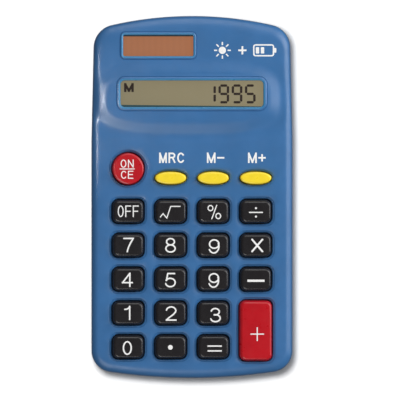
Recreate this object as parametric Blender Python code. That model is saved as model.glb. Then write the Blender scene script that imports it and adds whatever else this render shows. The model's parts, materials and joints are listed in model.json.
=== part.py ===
"""Pocket calculator with a liquid crystal display, a solar cell and a button cell.

Frame: metres, +Z up. The origin lies on the table under the middle of the case.
+X is the user's right and +Y points to the display end. Lengths and places below
are millimetres, and become metres where a mesh or a location is made.
"""

import math

import bmesh
import bpy

MM = 0.001

# ---- driving dimensions, millimetres ----

# case plan: 2.5 by 4.5 inches, both ends bowed outwards
CASE_WIDTH = 63.5
CASE_LENGTH = 114.3
DISPLAY_END_BOW = 120.0
DISPLAY_END_CORNER = 7.2
KEYPAD_END_BOW = 177.0
KEYPAD_END_CORNER = 6.8
TAPER_START = 18.0
TAPER_PER_MM = 0.00072
SIDE_DRAFT = 0.25

# heights above the table
REAR_FACE = 0.7
REAR_FLOOR = 2.2
PARTING = 6.0
PARTING_GAP = 0.1
FRONT_CEILING = 9.6
KEYPAD_FACE = 11.2
POD_FACE = 12.2
KEY_TOP = 12.8

# rounded edges: the front face rolls over further at its two ends than at its sides
FRONT_EDGE_ROUND = 2.2
DISPLAY_END_ROUND = 4.5
KEYPAD_END_ROUND = 3.2
REAR_EDGE_ROUND = 2.6
REAR_CORNER_SLOPE = 0.6

# moulded wall, and the lip that lines the two shells up
WALL = 1.6
LIP_HEIGHT = 0.8
LIP_OUTER = 1.05
RABBET = 0.85

# clearance between pieces that rest on each other, round screws and feet, and round posts
REST_GAP = 0.1
SIDE_GAP = 0.2
POST_HOLE_GAP = 0.3

# how far a cutter runs on past the faces it opens
CUTTER_REACH = 1.0
POCKET_CUTTER_REACH = 0.6

# raised pod round the display
POD_CENTRE = (-0.5, 31.6)
POD_HALF_WIDTH = 29.2
POD_HALF_HEIGHT = 10.8
POD_POWER = 2.6
POD_FOOT = 0.05
POD_ROOT_RISE = 0.3
# (inset, share of the pod's rise) over its slope
POD_SLOPE = ((1.4, 0.7), (3.2, 1.0))

# keypad grid
COLUMN_PITCH = 13.4
ROW_PITCH = 10.66
FIRST_ROW_Y = -4.55
MEMORY_ROW_Y = 6.0
CLEAR_KEY_Y = 8.9
TALL_KEY_DROP = 0.2

# keys
KEY_WIDTH = 9.7
KEY_HEIGHT = 7.2
KEY_CORNER = 1.8
CORNER_FOLLOW = 0.8
KEY_TRAVEL = 1.0
KEY_GAP = 0.3
KEY_RIM_FLARE = 0.85
OVAL_RIM_FLARE = 0.65
KEY_WALL = 0.9
KEY_FLANGE = 0.6
KEY_EDGE = 0.65
KEY_TOP_SHIFT = (0.15, -0.15)
ROUND_KEY_DIAMETER = 10.0
OVAL_KEY_WIDTH = 10.0
OVAL_KEY_HEIGHT = 4.0
TALL_KEY_WIDTH = 10.1
TALL_KEY_HEIGHT = 18.8
STEM_RADIUS = 1.5
OVAL_STEM_RADIUS = 0.8
KEY_SKIRT_BOTTOM = 8.0
KEY_FLANGE_TOP = 9.2
KEY_ROOF_INSIDE = 11.5
KEY_SHOULDER = 11.9

# circuit board and rubber membrane
BOARD_BOTTOM = 4.6
BOARD_TOP = 5.6
BOARD_HALF_WIDTH = 24.9
BOARD_LOW_Y = -52.6
BOARD_HIGH_Y = 33.9
MEMBRANE_THICKNESS = 0.6
MEMBRANE_HIGH_Y = 17.0
DOME_SPARE = 0.25
DOME_FOOT_RADIUS = 3.4
DOME_HEAD_RADIUS = 1.9

# display and solar windows
DISPLAY_CENTRE = (0.0, 32.5)
DISPLAY_OPENING = (44.8, 8.2)
DISPLAY_RIM = 1.2
DISPLAY_RIM_DEPTH = 0.7
WINDOW_CORNER = 1.3
DISPLAY_POCKET = (50.0, 14.0)
DISPLAY_POCKET_CEILING = 10.9
DISPLAY_WINDOW_THICKNESS = 1.0
SOLAR_CENTRE = (-10.6, 47.7)
SOLAR_OPENING = (22.1, 6.7)
SOLAR_RIM = 0.9
SOLAR_RIM_DEPTH = 0.5
SOLAR_POCKET = (24.8, 9.2)
SOLAR_POCKET_CEILING = 10.2
SOLAR_WINDOW_THICKNESS = 0.8
SOLAR_CELL_THICKNESS = 1.1
SOLAR_CELL_SPARE = 1.4
POCKET_CORNER = 0.8
POCKET_SPARE = 0.6
PLATE_CORNER = 0.5
GLASS_CORNER = 0.3

# display stack
LCD_SIZE = (47.0, 12.8)
LCD_BOTTOM = 7.6
LCD_TOP = 9.4
LCD_EDGE = (1.4, 1.2)
FILM_THICKNESS = 0.2
FILM_GAP = 0.05
LCD_FRAME_SPARE = (3.4, 3.0)
LCD_FRAME_GAP = 0.4
LCD_FRAME_CORNER = 1.2
LCD_FRAME_DROP = 0.25
ZEBRA_HEIGHT = 1.3
ZEBRA_END_SPARE = 1.5
ZEBRA_SIDE_SPARE = 0.3
REFLECTOR_SPARE = 1.5

# fasteners
CASE_SCREW_PLACES = ((25.2, 47.0), (-25.2, 47.0), (28.0, -48.6), (-28.0, -48.6))
CASE_SCREW_NAMES = ("top_right", "top_left", "bottom_right", "bottom_left")
CASE_SCREW_RADIUS = 0.95
CASE_SCREW_HEAD_RADIUS = 1.75
CASE_SCREW_HEAD = (1.5, 2.9)
CASE_SCREW_TIP = 9.0
CASE_POST_RADIUS = 2.7
FRONT_POST_RADIUS = 1.75
FRONT_POST_BORE = 1.1
BORE_ROOF = 0.3
BOARD_SCREW_RADIUS = 0.8
BOARD_SCREW_HEAD_RADIUS = 1.5
BOARD_SCREW_HEAD_HEIGHT = 1.1
BOARD_SCREW_TIP = 8.8
DISPLAY_SCREW_PLACE = (22.5, 21.0)
SCREW_CROWN_SHARE = 0.8
SCREW_CROWN_HEIGHT = 0.3
SCREW_POINT_SHARE = 0.3
SCREW_POINT_LENGTH = 0.6

# button cell, its bay and its door
CELL_CENTRE = (12.0, 45.4)
CELL_RADIUS = 5.8
CELL_BOTTOM = 2.3
CELL_TOP = 5.35
CELL_CAP_RADIUS = 4.9
CELL_CAP_HEIGHT = 0.5
CELL_CAP_SLOPE = 0.2
BAY_HALF_WIDTH = 6.7
BAY_WALL = 1.1
BAY_HIGH_Y = 51.4
BAY_FENCE_Y = (38.2, 39.2)
BAY_FENCE_Z = (2.5, 5.3)
FENCE_SPARE = 0.5
BAY_ROOF_Z = (6.1, 6.9)
DOOR_GAP = 0.2
DOOR_LOW_Y = 36.1
DOOR_THICKNESS = 1.4
DOOR_TAB_WIDTH = 2.4
DOOR_TAB_OFFSET = 3.6
DOOR_TAB_REACH = 1.65
DOOR_TAB_ROOT = (-0.21, 0.8)
DOOR_TAB_SINK = 0.2
DOOR_TAB_THICKNESS = 0.5
DOOR_GRIP_DEPTH = 0.35
DOOR_GRIP_COUNT = 4
DOOR_GRIP_PITCH = 1.6
NOTCH_RADIUS = 1.5
NOTCH_HALF_WIDTH = 3.5
NOTCH_LIFT = 0.5
CONTACT_THICKNESS = 0.2
CONTACT_START_Y = 31.0
CAP_CONTACT_SIDES = (-1.5, 1.5)
CAP_CONTACT_REACH = 1.75
RIM_CONTACT_SIDES = (3.2, 5.2)
RIM_CONTACT_GAP = 0.45
RIM_CONTACT_BEND = 0.65

# chip cap under the board, capacitor beyond its edge, and the solar cell's wires
CHIP_CAP_Y = 11.44
CHIP_CAP_RADIUS = 5.4
CHIP_CAP_DROP = 1.4
CHIP_CAP_STEPS = 4
CAPACITOR_CENTRE = (-4.0, 36.9, 4.7)
CAPACITOR_RADIUS = 2.0
CAPACITOR_LENGTH = 7.0
CAPACITOR_CHAMFER = 0.35
LEAD_SIZE = 0.5
LEAD_OFFSET = 1.0
LEAD_REACH = 2.0
WIRE_RADIUS = 0.45
WIRE_BELOW_CELL = 0.6
WIRE_ABOVE_BOARD = 0.6
WIRE_OVER_BOARD = 2.0
WIRE_SAG = 2.2
WIRE_SAG_PULL = 1.25
WIRE_STEPS = 8
# (name, place along X from the solar cell's middle, finish)
SOLAR_WIRES = (
    ("solar_wire_red", -8.0, "red_insulation"),
    ("solar_wire_black", -5.0, "black_insulation"),
)

# rubber feet
FOOT_PLACES = ((24.0, 35.0), (-24.0, 35.0), (24.0, -38.0), (-24.0, -38.0))
FOOT_NAMES = ("top_right", "top_left", "bottom_right", "bottom_left")
FOOT_RADIUS = 3.5
FOOT_CHAMFER = 0.2
FOOT_TOP = 1.1
FOOT_RECESS_TOP = 1.2

# facet counts
CASE_CORNER_STEPS = 6
CASE_BOW_STEPS = 8
CORNER_STEPS = 2
HINGE_EDGE_STEPS = 6
NOTCH_STEPS = 4
COARSE_COUNT = 8
ROUND_COUNT = 12
OVAL_COUNT = 16
MEDIUM_COUNT = 16
FINE_COUNT = 20
POD_COUNT = 28

# colour, roughness and metallic value of each plastic, rubber and metal
FINISHES = {
    "blue_plastic": ((0.045, 0.16, 0.36), 0.38, 0.0),
    "black_plastic": ((0.022, 0.020, 0.022), 0.35, 0.0),
    "red_plastic": ((0.58, 0.012, 0.022), 0.32, 0.0),
    "yellow_plastic": ((0.93, 0.72, 0.03), 0.32, 0.0),
    "clear_plastic": ((0.85, 0.88, 0.86), 0.08, 0.0),
    "lcd_glass": ((0.27, 0.24, 0.14), 0.25, 0.0),
    "polariser_film": ((0.30, 0.27, 0.17), 0.3, 0.0),
    "reflector_film": ((0.55, 0.53, 0.45), 0.3, 0.3),
    "white_plastic": ((0.78, 0.78, 0.75), 0.5, 0.0),
    "pink_elastomer": ((0.75, 0.42, 0.42), 0.6, 0.0),
    "amorphous_silicon": ((0.33, 0.13, 0.075), 0.25, 0.0),
    "board_laminate": ((0.30, 0.19, 0.07), 0.5, 0.0),
    "black_epoxy": ((0.015, 0.015, 0.017), 0.3, 0.0),
    "grey_silicone": ((0.45, 0.46, 0.46), 0.7, 0.0),
    "nickel_steel": ((0.62, 0.61, 0.58), 0.25, 1.0),
    "spring_steel": ((0.66, 0.64, 0.60), 0.3, 1.0),
    "screw_steel": ((0.42, 0.42, 0.43), 0.3, 1.0),
    "red_insulation": ((0.55, 0.02, 0.02), 0.45, 0.0),
    "black_insulation": ((0.02, 0.02, 0.02), 0.45, 0.0),
    "capacitor_sleeve": ((0.02, 0.03, 0.09), 0.35, 0.0),
    "foot_rubber": ((0.03, 0.03, 0.03), 0.85, 0.0),
}

# the black keys of the grid, row by row from the top, left to right
GRID_ROWS = (
    ("key_off", "key_sqrt", "key_percent", "key_divide"),
    ("key_7", "key_8", "key_9", "key_multiply"),
    ("key_4", "key_5", "key_6", "key_minus"),
    ("key_1", "key_2", "key_3"),
    ("key_0", "key_point", "key_equals"),
)
# the oval keys, over the second, third and fourth columns
MEMORY_KEYS = ("key_memory_recall", "key_memory_minus", "key_memory_plus")


# ---- places on the keypad ----

def column_x(column):
    """Centre of a key column, counted from the left."""
    return (column - 1.5) * COLUMN_PITCH


def row_y(row):
    """Centre of a key row, counted from the top; half rows lie between two rows."""
    return FIRST_ROW_Y - row * ROW_PITCH


def membrane_top():
    """Height of the membrane's sheet between its domes."""
    return BOARD_TOP + REST_GAP + MEMBRANE_THICKNESS


def dome_top():
    """A dome stands one key stroke and a little more above the sheet."""
    return membrane_top() + KEY_TRAVEL + DOME_SPARE


def board_post_places():
    """Posts stand where a gap between columns crosses a gap between rows."""
    places = [(side * COLUMN_PITCH, row_y(row)) for row in (0.5, 2.5) for side in (-1, 1)]
    places.append((0.0, row_y(3.5)))
    return places


def board_screw_places():
    """Five screws hold the keypad down, and two press the display on its strip."""
    x, y = DISPLAY_SCREW_PLACE
    return board_post_places() + [(-x, y), (x, y)]


# ---- plans: closed outlines in x and y, anticlockwise ----

def arc(centre, radius, start, end, steps):
    """Points along an arc, both ends included; angles in radians."""
    points = []
    for step in range(steps + 1):
        angle = start + (end - start) * step / steps
        points.append((centre[0] + radius * math.cos(angle), centre[1] + radius * math.sin(angle)))
    return points


def circle(centre, radius, count=ROUND_COUNT):
    """A round outline whose points straddle the +X axis."""
    points = []
    for index in range(count):
        angle = 2 * math.pi * (index + 0.5) / count
        points.append((centre[0] + radius * math.cos(angle), centre[1] + radius * math.sin(angle)))
    return points


def ellipse(centre, half_width, half_height, power, count):
    """A superellipse; power 2 is an ellipse, and larger powers have squarer shoulders."""
    points = []
    for index in range(count):
        angle = 2 * math.pi * (index + 0.5) / count
        cosine, sine = math.cos(angle), math.sin(angle)
        x = half_width * math.copysign(abs(cosine) ** (2 / power), cosine)
        y = half_height * math.copysign(abs(sine) ** (2 / power), sine)
        points.append((centre[0] + x, centre[1] + y))
    return points


def rounded_rectangle(centre, size, radius, steps=CORNER_STEPS):
    """A rectangle with round corners."""
    points = []
    quarters = ((1, 1), (-1, 1), (-1, -1), (1, -1))
    for quarter, (side_x, side_y) in enumerate(quarters):
        corner = (centre[0] + side_x * (size[0] / 2 - radius), centre[1] + side_y * (size[1] / 2 - radius))
        start = quarter * math.pi / 2
        points += arc(corner, radius, start, start + math.pi / 2, steps)
    return points


def rectangle(low, high):
    """A plain rectangle between two opposite corners."""
    return [(high[0], low[1]), (high[0], high[1]), (low[0], high[1]), (low[0], low[1])]


def moved(outline, place_xy):
    """The same outline somewhere else."""
    return [(x + place_xy[0], y + place_xy[1]) for x, y in outline]


def taper(point):
    """The case narrows evenly from TAPER_START towards the display end."""
    x, y = point
    return (x * (1 - TAPER_PER_MM * max(0.0, y - TAPER_START)), y)


def case_end(bow_radius, corner_radius, inset):
    """One end of the case plan at +Y: corner, bowed edge, corner."""
    corner_x = CASE_WIDTH / 2 - corner_radius
    bow_y = CASE_LENGTH / 2 - bow_radius
    corner_y = bow_y + math.sqrt((bow_radius - corner_radius) ** 2 - corner_x ** 2)
    turn = math.atan2(corner_y - bow_y, corner_x)
    round_radius = corner_radius - inset
    right = arc((corner_x, corner_y), round_radius, 0.0, turn, CASE_CORNER_STEPS)
    bow = arc((0.0, bow_y), bow_radius - inset, turn, math.pi - turn, CASE_BOW_STEPS)
    left = arc((-corner_x, corner_y), round_radius, math.pi - turn, math.pi, CASE_CORNER_STEPS)
    return right + bow[1:-1] + left


def case_outline(inset, display_pull=0.0, keypad_pull=0.0):
    """Plan of the case, moved inwards by inset; each end can be pulled in further."""
    display_end = case_end(DISPLAY_END_BOW, DISPLAY_END_CORNER, inset)
    display_end = [(x, y - display_pull) for x, y in display_end]
    keypad_end = case_end(KEYPAD_END_BOW, KEYPAD_END_CORNER, inset)
    keypad_end = [(-x, keypad_pull - y) for x, y in keypad_end]
    side = CASE_WIDTH / 2 - inset
    outline = display_end + [(-side, TAPER_START)] + keypad_end + [(side, TAPER_START)]
    return [taper(point) for point in outline]


# ---- solids ----

def at_height(outline, z):
    """A level ring: the outline at one height."""
    return [(x, y, z) for x, y in outline]


def loft(mesh, rings):
    """Add a closed body to a bmesh: matching rings joined in order, both ends capped."""
    loops = [[mesh.verts.new([value * MM for value in point]) for point in ring] for ring in rings]
    faces = [mesh.faces.new(loops[0]), mesh.faces.new(loops[-1])]
    for low, high in zip(loops, loops[1:]):
        for index in range(len(low)):
            following = (index + 1) % len(low)
            faces.append(mesh.faces.new((low[index], low[following], high[following], high[index])))
    bmesh.ops.recalc_face_normals(mesh, faces=faces)
    return faces


def prism(mesh, outline, low, high):
    """Add an upright prism between two heights."""
    loft(mesh, [at_height(outline, low), at_height(outline, high)])


def sideways_prism(mesh, profile, low_x, high_x):
    """Add a prism that runs along X, from a closed profile in y and z."""
    loft(mesh, [[(x, y, z) for y, z in profile] for x in (low_x, high_x)])


def box(mesh, low, high):
    """Add a block between two opposite corners."""
    prism(mesh, rectangle(low[:2], high[:2]), low[2], high[2])


def make_material(finish):
    """The material of one finish, made the first time it is asked for."""
    if finish in bpy.data.materials:
        return bpy.data.materials[finish]
    colour, roughness, metallic = FINISHES[finish]
    material = bpy.data.materials.new(finish)
    material.use_nodes = True
    shader = material.node_tree.nodes["Principled BSDF"]
    shader.inputs["Base Color"].default_value = (*colour, 1.0)
    shader.inputs["Roughness"].default_value = roughness
    shader.inputs["Metallic"].default_value = metallic
    material.diffuse_color = (*colour, 1.0)
    return material


def make_mesh(name, mesh, finish, smooth_degrees=35):
    """Turn a bmesh into a mesh with its finish, round faces shaded smooth."""
    data = bpy.data.meshes.new(name)
    mesh.to_mesh(data)
    mesh.free()
    data.materials.append(make_material(finish))
    data.shade_smooth()
    data.set_sharp_from_angle(angle=math.radians(smooth_degrees))
    return data


def place(name, data, location=(0.0, 0.0, 0.0)):
    """Put an object with this mesh into the scene."""
    item = bpy.data.objects.new(name, data)
    item.location = [value * MM for value in location]
    bpy.context.scene.collection.objects.link(item)
    return item


def make_part(name, mesh, finish, location=(0.0, 0.0, 0.0)):
    """A named part from a bmesh."""
    return place(name, make_mesh(name, mesh, finish), location)


def combine(part, tool_name, tool_mesh, operation, location=(0.0, 0.0, 0.0)):
    """Join the tool bodies to a part, or cut them away from it; location is in metres."""
    data = bpy.data.meshes.new(tool_name)
    tool_mesh.to_mesh(data)
    tool_mesh.free()
    tool = place(tool_name, data)
    tool.location = location
    tool.hide_render = True
    tool.display_type = "WIRE"
    modifier = part.modifiers.new(tool_name, "BOOLEAN")
    modifier.operation = operation
    modifier.solver = "EXACT"
    modifier.object = tool


# ---- keys ----

def key_rings(plan, stem_radius):
    """A hollow cap open at the bottom, with a retaining flange and a middle stem.

    plan(inset) gives the cap's outline. The rings run from the stem's foot, up the stem,
    across the roof, down the inside, round the flange and up over the cap. The top is set
    a little off the cap's centre, so two of its sides slope more than the other two.
    """
    stem = circle((0.0, 0.0), stem_radius, len(plan(0.0)))
    half_shift = [value / 2 for value in KEY_TOP_SHIFT]
    steps = (
        (stem, dome_top() + REST_GAP),
        (stem, KEY_ROOF_INSIDE),
        (plan(KEY_WALL), KEY_ROOF_INSIDE),
        (plan(KEY_WALL), KEY_SKIRT_BOTTOM),
        (plan(-KEY_FLANGE), KEY_SKIRT_BOTTOM),
        (plan(-KEY_FLANGE), KEY_FLANGE_TOP),
        (plan(0.0), KEY_FLANGE_TOP),
        (plan(0.0), KEY_SHOULDER),
        (moved(plan(KEY_EDGE * 0.6), half_shift), (KEY_SHOULDER + 2 * KEY_TOP) / 3),
        (moved(plan(KEY_EDGE), KEY_TOP_SHIFT), KEY_TOP),
    )
    return [at_height(outline, z) for outline, z in steps]


def rectangular_key_plan(width, height, inset):
    """A rectangular cap; its corners turn a little less tightly further in."""
    size = (width - 2 * inset, height - 2 * inset)
    return rounded_rectangle((0.0, 0.0), size, KEY_CORNER - inset * CORNER_FOLLOW)


def grid_key_plan(inset):
    """One of the black keys of the grid."""
    return rectangular_key_plan(KEY_WIDTH, KEY_HEIGHT, inset)


def tall_key_plan(inset):
    """The plus key, two rows tall."""
    return rectangular_key_plan(TALL_KEY_WIDTH, TALL_KEY_HEIGHT, inset)


def round_key_plan(inset):
    """The on and clear key."""
    return circle((0.0, 0.0), ROUND_KEY_DIAMETER / 2 - inset, FINE_COUNT)


def oval_key_plan(inset):
    """A memory key."""
    return ellipse((0.0, 0.0), OVAL_KEY_WIDTH / 2 - inset, OVAL_KEY_HEIGHT / 2 - inset, 2.0, OVAL_COUNT)


def key_shapes():
    """Each shape's plan, stem radius, flare of its opening and finish."""
    return {
        "grid": (grid_key_plan, STEM_RADIUS, KEY_RIM_FLARE, "black_plastic"),
        "tall": (tall_key_plan, STEM_RADIUS, KEY_RIM_FLARE, "red_plastic"),
        "round": (round_key_plan, STEM_RADIUS, KEY_RIM_FLARE, "red_plastic"),
        "oval": (oval_key_plan, OVAL_STEM_RADIUS, OVAL_RIM_FLARE, "yellow_plastic"),
    }


def key_places():
    """Every key's name, shape and centre."""
    places = [
        ("key_on_clear", "round", (column_x(0), CLEAR_KEY_Y)),
        ("key_plus", "tall", (column_x(3), row_y(3.5) - TALL_KEY_DROP)),
    ]
    for column, name in enumerate(MEMORY_KEYS, start=1):
        places.append((name, "oval", (column_x(column), MEMORY_ROW_Y)))
    for row, names in enumerate(GRID_ROWS):
        for column, name in enumerate(names):
            places.append((name, "grid", (column_x(column), row_y(row))))
    return places


def make_keys():
    """Each key is its own object, and keys of one shape share a mesh."""
    meshes = {}
    for shape, (plan, stem_radius, _, finish) in key_shapes().items():
        mesh = bmesh.new()
        loft(mesh, key_rings(plan, stem_radius))
        meshes[shape] = make_mesh(f"{shape}_key", mesh, finish)
    for name, shape, centre in key_places():
        place(name, meshes[shape], (*centre, 0.0))


# ---- front shell ----

def edge_round(wall_z, face_z):
    """(share of the full width, height) steps over a rounded edge, from wall to face."""
    angles = [math.radians(degrees) for degrees in (30, 60, 90)]
    return [(1 - math.cos(angle), wall_z + (face_z - wall_z) * math.sin(angle)) for angle in angles]


def front_shell_body(mesh):
    """A tray with its mouth down, its rim rebated for the rear shell's lip."""
    rim = PARTING + PARTING_GAP
    edge = KEYPAD_FACE - FRONT_EDGE_ROUND
    steps = [
        (WALL + SIDE_DRAFT, FRONT_CEILING),
        (WALL, rim + LIP_HEIGHT),
        (RABBET, rim + LIP_HEIGHT),
        (RABBET, rim),
        (0.0, rim),
        (SIDE_DRAFT, edge),
    ]
    rings = [at_height(case_outline(inset), z) for inset, z in steps]
    for share, z in edge_round(edge, KEYPAD_FACE):
        inset = SIDE_DRAFT + FRONT_EDGE_ROUND * share
        display_pull = (DISPLAY_END_ROUND - FRONT_EDGE_ROUND) * share
        keypad_pull = (KEYPAD_END_ROUND - FRONT_EDGE_ROUND) * share
        rings.append(at_height(case_outline(inset, display_pull, keypad_pull), z))
    loft(mesh, rings)


def pod_ring(inset, z):
    """The pod's outline at one height."""
    outline = ellipse(POD_CENTRE, POD_HALF_WIDTH - inset, POD_HALF_HEIGHT - inset, POD_POWER, POD_COUNT)
    return at_height(outline, z)


def front_shell_additions(mesh):
    """The raised display pod, and the posts that take the screws."""
    root = (FRONT_CEILING + KEYPAD_FACE) / 2
    steps = [(0.0, root + POD_ROOT_RISE), (0.0, KEYPAD_FACE + POD_FOOT)]
    for inset, share in POD_SLOPE:
        steps.append((inset, KEYPAD_FACE + share * (POD_FACE - KEYPAD_FACE)))
    loft(mesh, [pod_ring(inset, z) for inset, z in steps])
    for place_xy in CASE_SCREW_PLACES:
        prism(mesh, circle(place_xy, FRONT_POST_RADIUS), PARTING + PARTING_GAP, root)
    for place_xy in board_screw_places():
        prism(mesh, circle(place_xy, FRONT_POST_RADIUS), BOARD_TOP + REST_GAP, root)


def front_shell_recesses(mesh):
    """Pockets behind both windows, and blind bores in the posts."""
    low = FRONT_CEILING - POCKET_CUTTER_REACH
    for centre, size, ceiling in (
        (DISPLAY_CENTRE, DISPLAY_POCKET, DISPLAY_POCKET_CEILING),
        (SOLAR_CENTRE, SOLAR_POCKET, SOLAR_POCKET_CEILING),
    ):
        prism(mesh, rounded_rectangle(centre, size, POCKET_CORNER), low, ceiling)
    bore_top = FRONT_CEILING - BORE_ROOF
    for place_xy in CASE_SCREW_PLACES:
        prism(mesh, circle(place_xy, FRONT_POST_BORE), PARTING - CUTTER_REACH, bore_top)
    for place_xy in board_screw_places():
        prism(mesh, circle(place_xy, FRONT_POST_BORE), BOARD_TOP - CUTTER_REACH, bore_top)


def flared_opening(mesh, plan, face_z, flare, depth):
    """A through opening whose rim slopes outwards at the face; plan(inset) is its outline."""
    bottom = at_height(plan(0.0), FRONT_CEILING - CUTTER_REACH)
    neck = at_height(plan(0.0), face_z - depth)
    mouth = at_height(plan(-flare), face_z)
    above = at_height(plan(-flare), face_z + CUTTER_REACH)
    loft(mesh, [bottom, neck, mouth, above])


def window_plan(centre, size):
    """Outline of a window's opening as a function of its inset."""
    def plan(inset):
        grown = (size[0] - 2 * inset, size[1] - 2 * inset)
        return rounded_rectangle(centre, grown, WINDOW_CORNER - inset * 0.5)
    return plan


def key_opening_plan(plan, centre):
    """Outline of a key's opening as a function of its inset."""
    def opening(inset):
        return moved(plan(inset - KEY_GAP), centre)
    return opening


def front_shell_openings(mesh):
    """The two windows and one opening for every key."""
    display = window_plan(DISPLAY_CENTRE, DISPLAY_OPENING)
    flared_opening(mesh, display, POD_FACE, DISPLAY_RIM, DISPLAY_RIM_DEPTH)
    solar = window_plan(SOLAR_CENTRE, SOLAR_OPENING)
    flared_opening(mesh, solar, KEYPAD_FACE, SOLAR_RIM, SOLAR_RIM_DEPTH)
    shapes = key_shapes()
    for _, shape, centre in key_places():
        plan, _, flare, _ = shapes[shape]
        flared_opening(mesh, key_opening_plan(plan, centre), KEYPAD_FACE, flare, flare)


def make_front_shell():
    """The top moulding."""
    body = bmesh.new()
    front_shell_body(body)
    shell = make_part("front_shell", body, "blue_plastic")
    additions = bmesh.new()
    front_shell_additions(additions)
    combine(shell, "front_shell_additions", additions, "UNION")
    recesses = bmesh.new()
    front_shell_recesses(recesses)
    combine(shell, "front_shell_recesses", recesses, "DIFFERENCE")
    openings = bmesh.new()
    front_shell_openings(openings)
    combine(shell, "front_shell_openings", openings, "DIFFERENCE")


# ---- rear shell ----

def rear_shell_body(mesh):
    """A tray with its mouth up, and a lip that enters the front shell."""
    rim = PARTING - PARTING_GAP
    edge = REAR_FACE + REAR_EDGE_ROUND
    steps = [
        (WALL + REAR_CORNER_SLOPE, REAR_FLOOR),
        (WALL, edge),
        (WALL, rim + LIP_HEIGHT),
        (LIP_OUTER, rim + LIP_HEIGHT),
        (LIP_OUTER, rim),
        (0.0, rim),
        (SIDE_DRAFT, edge),
    ]
    for share, z in edge_round(edge, REAR_FACE):
        steps.append((SIDE_DRAFT + REAR_EDGE_ROUND * share, z))
    loft(mesh, [at_height(case_outline(inset), z) for inset, z in steps])


def bay_side(side):
    """X of the battery bay's inner side wall."""
    return CELL_CENTRE[0] + side * BAY_HALF_WIDTH


def rear_shell_additions(mesh):
    """Screw posts, and the block that the battery bay is hollowed out of."""
    root = (REAR_FACE + REAR_FLOOR) / 2
    for place_xy in CASE_SCREW_PLACES:
        prism(mesh, circle(place_xy, CASE_POST_RADIUS, MEDIUM_COUNT), root, PARTING - 2 * PARTING_GAP)
    low = (bay_side(-1) - BAY_WALL, BAY_FENCE_Y[0], root)
    high = (bay_side(1) + BAY_WALL, BAY_HIGH_Y + BAY_WALL, BAY_ROOF_Z[1])
    box(mesh, low, high)


def rear_shell_cuts(mesh):
    """Screw wells, foot recesses, and the door opening with the bay above it."""
    below = REAR_FACE - CUTTER_REACH
    seat = CASE_SCREW_HEAD[1] + REST_GAP
    for place_xy in CASE_SCREW_PLACES:
        well = circle(place_xy, CASE_SCREW_HEAD_RADIUS + SIDE_GAP)
        bore = circle(place_xy, CASE_SCREW_RADIUS + SIDE_GAP)
        rings = ((well, below), (well, seat), (bore, seat), (bore, PARTING + CUTTER_REACH))
        loft(mesh, [at_height(outline, z) for outline, z in rings])
    for place_xy in FOOT_PLACES:
        prism(mesh, circle(place_xy, FOOT_RADIUS + SIDE_GAP, MEDIUM_COUNT), below, FOOT_RECESS_TOP)
    # the fence stands clear of the door's tabs, and the contacts pass over it
    low_y = DOOR_LOW_Y - DOOR_GAP
    profile = (
        (low_y, below),
        (BAY_HIGH_Y, below),
        (BAY_HIGH_Y, BAY_ROOF_Z[0]),
        (BAY_FENCE_Y[0] - FENCE_SPARE, BAY_ROOF_Z[0]),
        (BAY_FENCE_Y[0] - FENCE_SPARE, BAY_FENCE_Z[1]),
        (BAY_FENCE_Y[1], BAY_FENCE_Z[1]),
        (BAY_FENCE_Y[1], BAY_FENCE_Z[0]),
        (low_y, BAY_FENCE_Z[0]),
    )
    sideways_prism(mesh, profile, bay_side(-1), bay_side(1))


def rear_shell_notch(mesh):
    """A quarter-round notch for a fingernail, beside the door's free edge."""
    low_z = REAR_FACE - NOTCH_LIFT
    curve = arc((BAY_HIGH_Y, low_z), NOTCH_RADIUS, 0.0, math.pi / 2, NOTCH_STEPS)
    inside_y = BAY_HIGH_Y - NOTCH_LIFT
    profile = [(inside_y, low_z)] + curve + [(inside_y, low_z + NOTCH_RADIUS)]
    middle = CELL_CENTRE[0]
    sideways_prism(mesh, profile, middle - NOTCH_HALF_WIDTH, middle + NOTCH_HALF_WIDTH)


def make_rear_shell():
    """The bottom moulding."""
    body = bmesh.new()
    rear_shell_body(body)
    shell = make_part("rear_shell", body, "blue_plastic")
    additions = bmesh.new()
    rear_shell_additions(additions)
    combine(shell, "rear_shell_additions", additions, "UNION")
    cuts = bmesh.new()
    rear_shell_cuts(cuts)
    combine(shell, "rear_shell_cuts", cuts, "DIFFERENCE")
    notch = bmesh.new()
    rear_shell_notch(notch)
    combine(shell, "rear_shell_notch", notch, "DIFFERENCE")


# ---- battery door, cell and contacts ----

def door_hinge():
    """The door tilts about the middle of its rounded lower edge."""
    half = DOOR_THICKNESS / 2
    return (CELL_CENTRE[0], DOOR_LOW_Y + half, REAR_FACE + half)


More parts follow.
